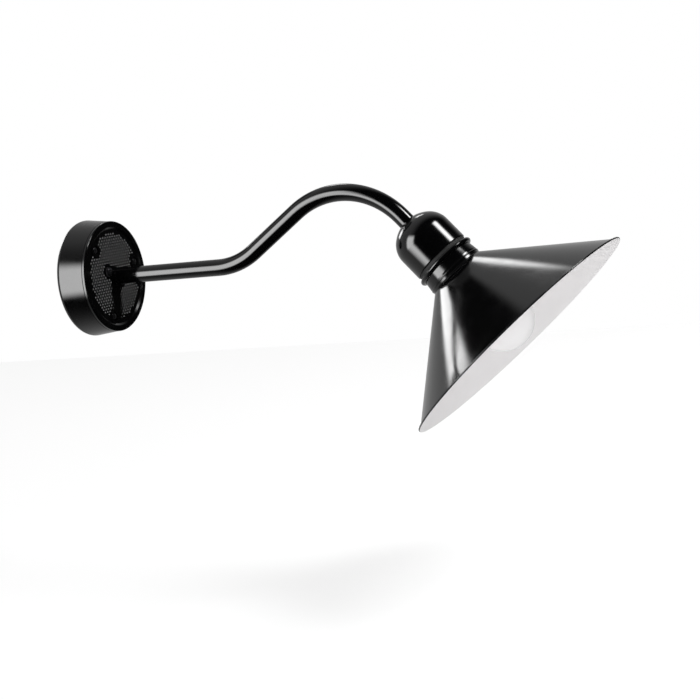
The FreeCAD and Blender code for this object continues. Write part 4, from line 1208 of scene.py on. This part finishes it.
@dataclass
class Studio:
    """The white room: soft lights, the world's light, the floor and the camera."""

    head_centre: tuple[float, float, float] = (0.0, -0.44, -0.02)
    softboxes: tuple[Softbox, ...] = (
        Softbox("top_softbox", 7, 52, 27, 24, 24.0, 0.8, 3.0, True),
        Softbox("side_softbox", -130, 3, 40, 57, 10.0, 0.55, 1.25),
        Softbox("wall_softbox", 157, 17.5, 20, 16, 7.5, 0.5),
        Softbox("rear_softbox", 125, 41.8, 15, 10.4, 6.5, 0.6),
    )
    ambient: float = 0.765
    glossy_white: float = 0.5
    flag_azimuth: float = 160.0
    flag_elevation: float = 36.0
    flag_core: float = 9.0
    flag_reach: float = 14.0
    white_azimuth: float = 154.0
    white_elevation: float = 6.0
    white_start: float = -0.07
    white_full: float = 0.46
    floor_height: float = -0.34
    floor_top_up: float = 0.548
    floor_size: float = 3.6
    floor_dark: float = 0.84
    floor_light: float = 0.86
    floor_seen: float = 0.45
    eye: tuple[float, float, float] = (-1.374879, -0.930814, 0.102231)
    yaw: float = 1.1458
    pitch: float = -0.13127
    roll: float = -0.11327
    focal_pixels: float = 1459.36
    image_pixels: int = 700
    sensor: float = 36.0
    nearest: float = 0.05
    farthest: float = 60.0

    def build(self) -> None:
        """Makes the lights, the world, the floor and the camera."""
        centre = Vector(self.head_centre)
        for softbox in self.softboxes:
            softbox.make(centre)
            log.info("light %s", softbox.name)
        self.make_world()
        self.make_floor()
        self.make_camera()
        bpy.context.scene.view_settings.view_transform = "Standard"

    def forward(self) -> Vector:
        """The direction in which the camera looks."""
        return Vector((math.sin(self.yaw) * math.cos(self.pitch), math.cos(self.yaw) * math.cos(self.pitch),
                       math.sin(self.pitch)))

    def make_world(self) -> None:
        """Makes a world that is white behind the object and dark on the camera's side in reflections."""
        world = bpy.data.worlds.new("studio")
        bpy.context.scene.world = world
        world.use_nodes = True
        world.node_tree.nodes.clear()
        graph = Graph(world.node_tree)
        rays = graph.add("LightPath")
        seen = graph.add("TexCoord").outputs["Generated"]
        middle = direction(self.white_azimuth, self.white_elevation)
        behind = graph.add("VectorMath", {0: seen, 1: middle}, operation="DOT_PRODUCT").outputs["Value"]
        white = graph.ramp(behind, self.white_start, self.white_full, 0.0, self.glossy_white)
        flag = direction(self.flag_azimuth, self.flag_elevation)
        card = graph.add("VectorMath", {0: seen, 1: flag}, operation="DOT_PRODUCT").outputs["Value"]
        edge, core = math.cos(math.radians(self.flag_reach)), math.cos(math.radians(self.flag_core))
        shaded = graph.math("MULTIPLY", white, graph.ramp(card, edge, core, 1.0, 0.02))
        room = graph.add("Background", {"Strength": shaded})
        backdrop = graph.add("Background", {"Strength": 1.0})
        fill = graph.add("Background", {"Strength": self.ambient})
        for shader in (room, backdrop, fill):
            shader.inputs["Color"].default_value = WHITE
        mirrored = graph.math("MAXIMUM", rays.outputs[Reach.GLOSSY.value],
                              rays.outputs[Reach.TRANSMISSION.value])
        first = graph.add("MixShader", {0: mirrored, 1: fill.outputs[0], 2: room.outputs[0]})
        last = graph.add("MixShader", {0: rays.outputs[Reach.CAMERA.value], 1: first.outputs[0],
                                       2: backdrop.outputs[0]})
        graph.add("OutputWorld", {"Surface": last.outputs[0]})

    def make_floor(self) -> None:
        """Makes the pale floor, which keeps the object's shadow."""
        half = self.floor_size / 2
        corners = [Vector((x * half, y * half, self.floor_height))
                   for x, y in ((-1, -1), (1, -1), (1, 1), (-1, 1))]
        floor = mesh_piece("floor", corners, [[0, 1, 2, 3]])
        made = bpy.data.materials.new("pale_floor")
        made.use_nodes = True
        made.node_tree.nodes.clear()
        graph = Graph(made.node_tree)
        rays = graph.add("LightPath")
        place = graph.add("TexCoord").outputs["Object"]
        mottle = graph.add("TexNoise", {"Vector": place, "Scale": 6.0, "Detail": 4.0}).outputs["Fac"]
        tone = graph.blend(mottle, grey(self.floor_dark), grey(self.floor_light))
        matt = graph.add("BsdfDiffuse", {"Color": tone})
        pale = graph.add("Emission", {"Color": WHITE, "Strength": self.floor_top_up})
        dim = graph.add("BsdfDiffuse", {"Color": grey(self.floor_seen)})
        seen = graph.add("AddShader", {0: pale.outputs[0], 1: dim.outputs[0]})
        open_air = graph.add("BsdfTransparent")
        mirrored = graph.math("MAXIMUM", rays.outputs[Reach.GLOSSY.value],
                              rays.outputs[Reach.TRANSMISSION.value])
        first = graph.add("MixShader", {0: mirrored, 1: matt.outputs[0], 2: open_air.outputs[0]})
        last = graph.add("MixShader", {0: rays.outputs[Reach.CAMERA.value], 1: first.outputs[0],
                                       2: seen.outputs[0]})
        graph.add("OutputMaterial", {"Surface": last.outputs[0]})
        floor.data.materials.append(made)

    def make_camera(self) -> None:
        """Makes the camera at the photograph's place and angle."""
        ahead = self.forward()
        level = ahead.cross(Vector((0, 0, 1))).normalized()
        above = level.cross(ahead)
        right = level * math.cos(self.roll) + above * math.sin(self.roll)
        up = above * math.cos(self.roll) - level * math.sin(self.roll)
        data = bpy.data.cameras.new("camera")
        data.sensor_width = self.sensor
        data.lens = self.focal_pixels * self.sensor / self.image_pixels
        data.clip_start = self.nearest
        data.clip_end = self.farthest
        camera = bpy.data.objects.new("camera", data)
        place = Matrix((right, up, -ahead)).transposed().to_4x4()
        place.translation = Vector(self.eye)
        camera.matrix_world = place
        bpy.context.scene.collection.objects.link(camera)
        bpy.context.scene.camera = camera


def main() -> None:
    """Dresses the frame, adds the fine pieces and lights the scene."""
    logging.basicConfig(level=logging.INFO, format="%(message)s")
    dresser = Dresser()
    for part in (WallBox(dresser), Wiring(dresser), Arm(dresser), Lampholder(dresser), Shade(dresser),
                 Lamp(dresser), Studio()):
        part.build()
        log.info("%s is done", type(part).__name__)


if __name__ == "__main__":
    main()
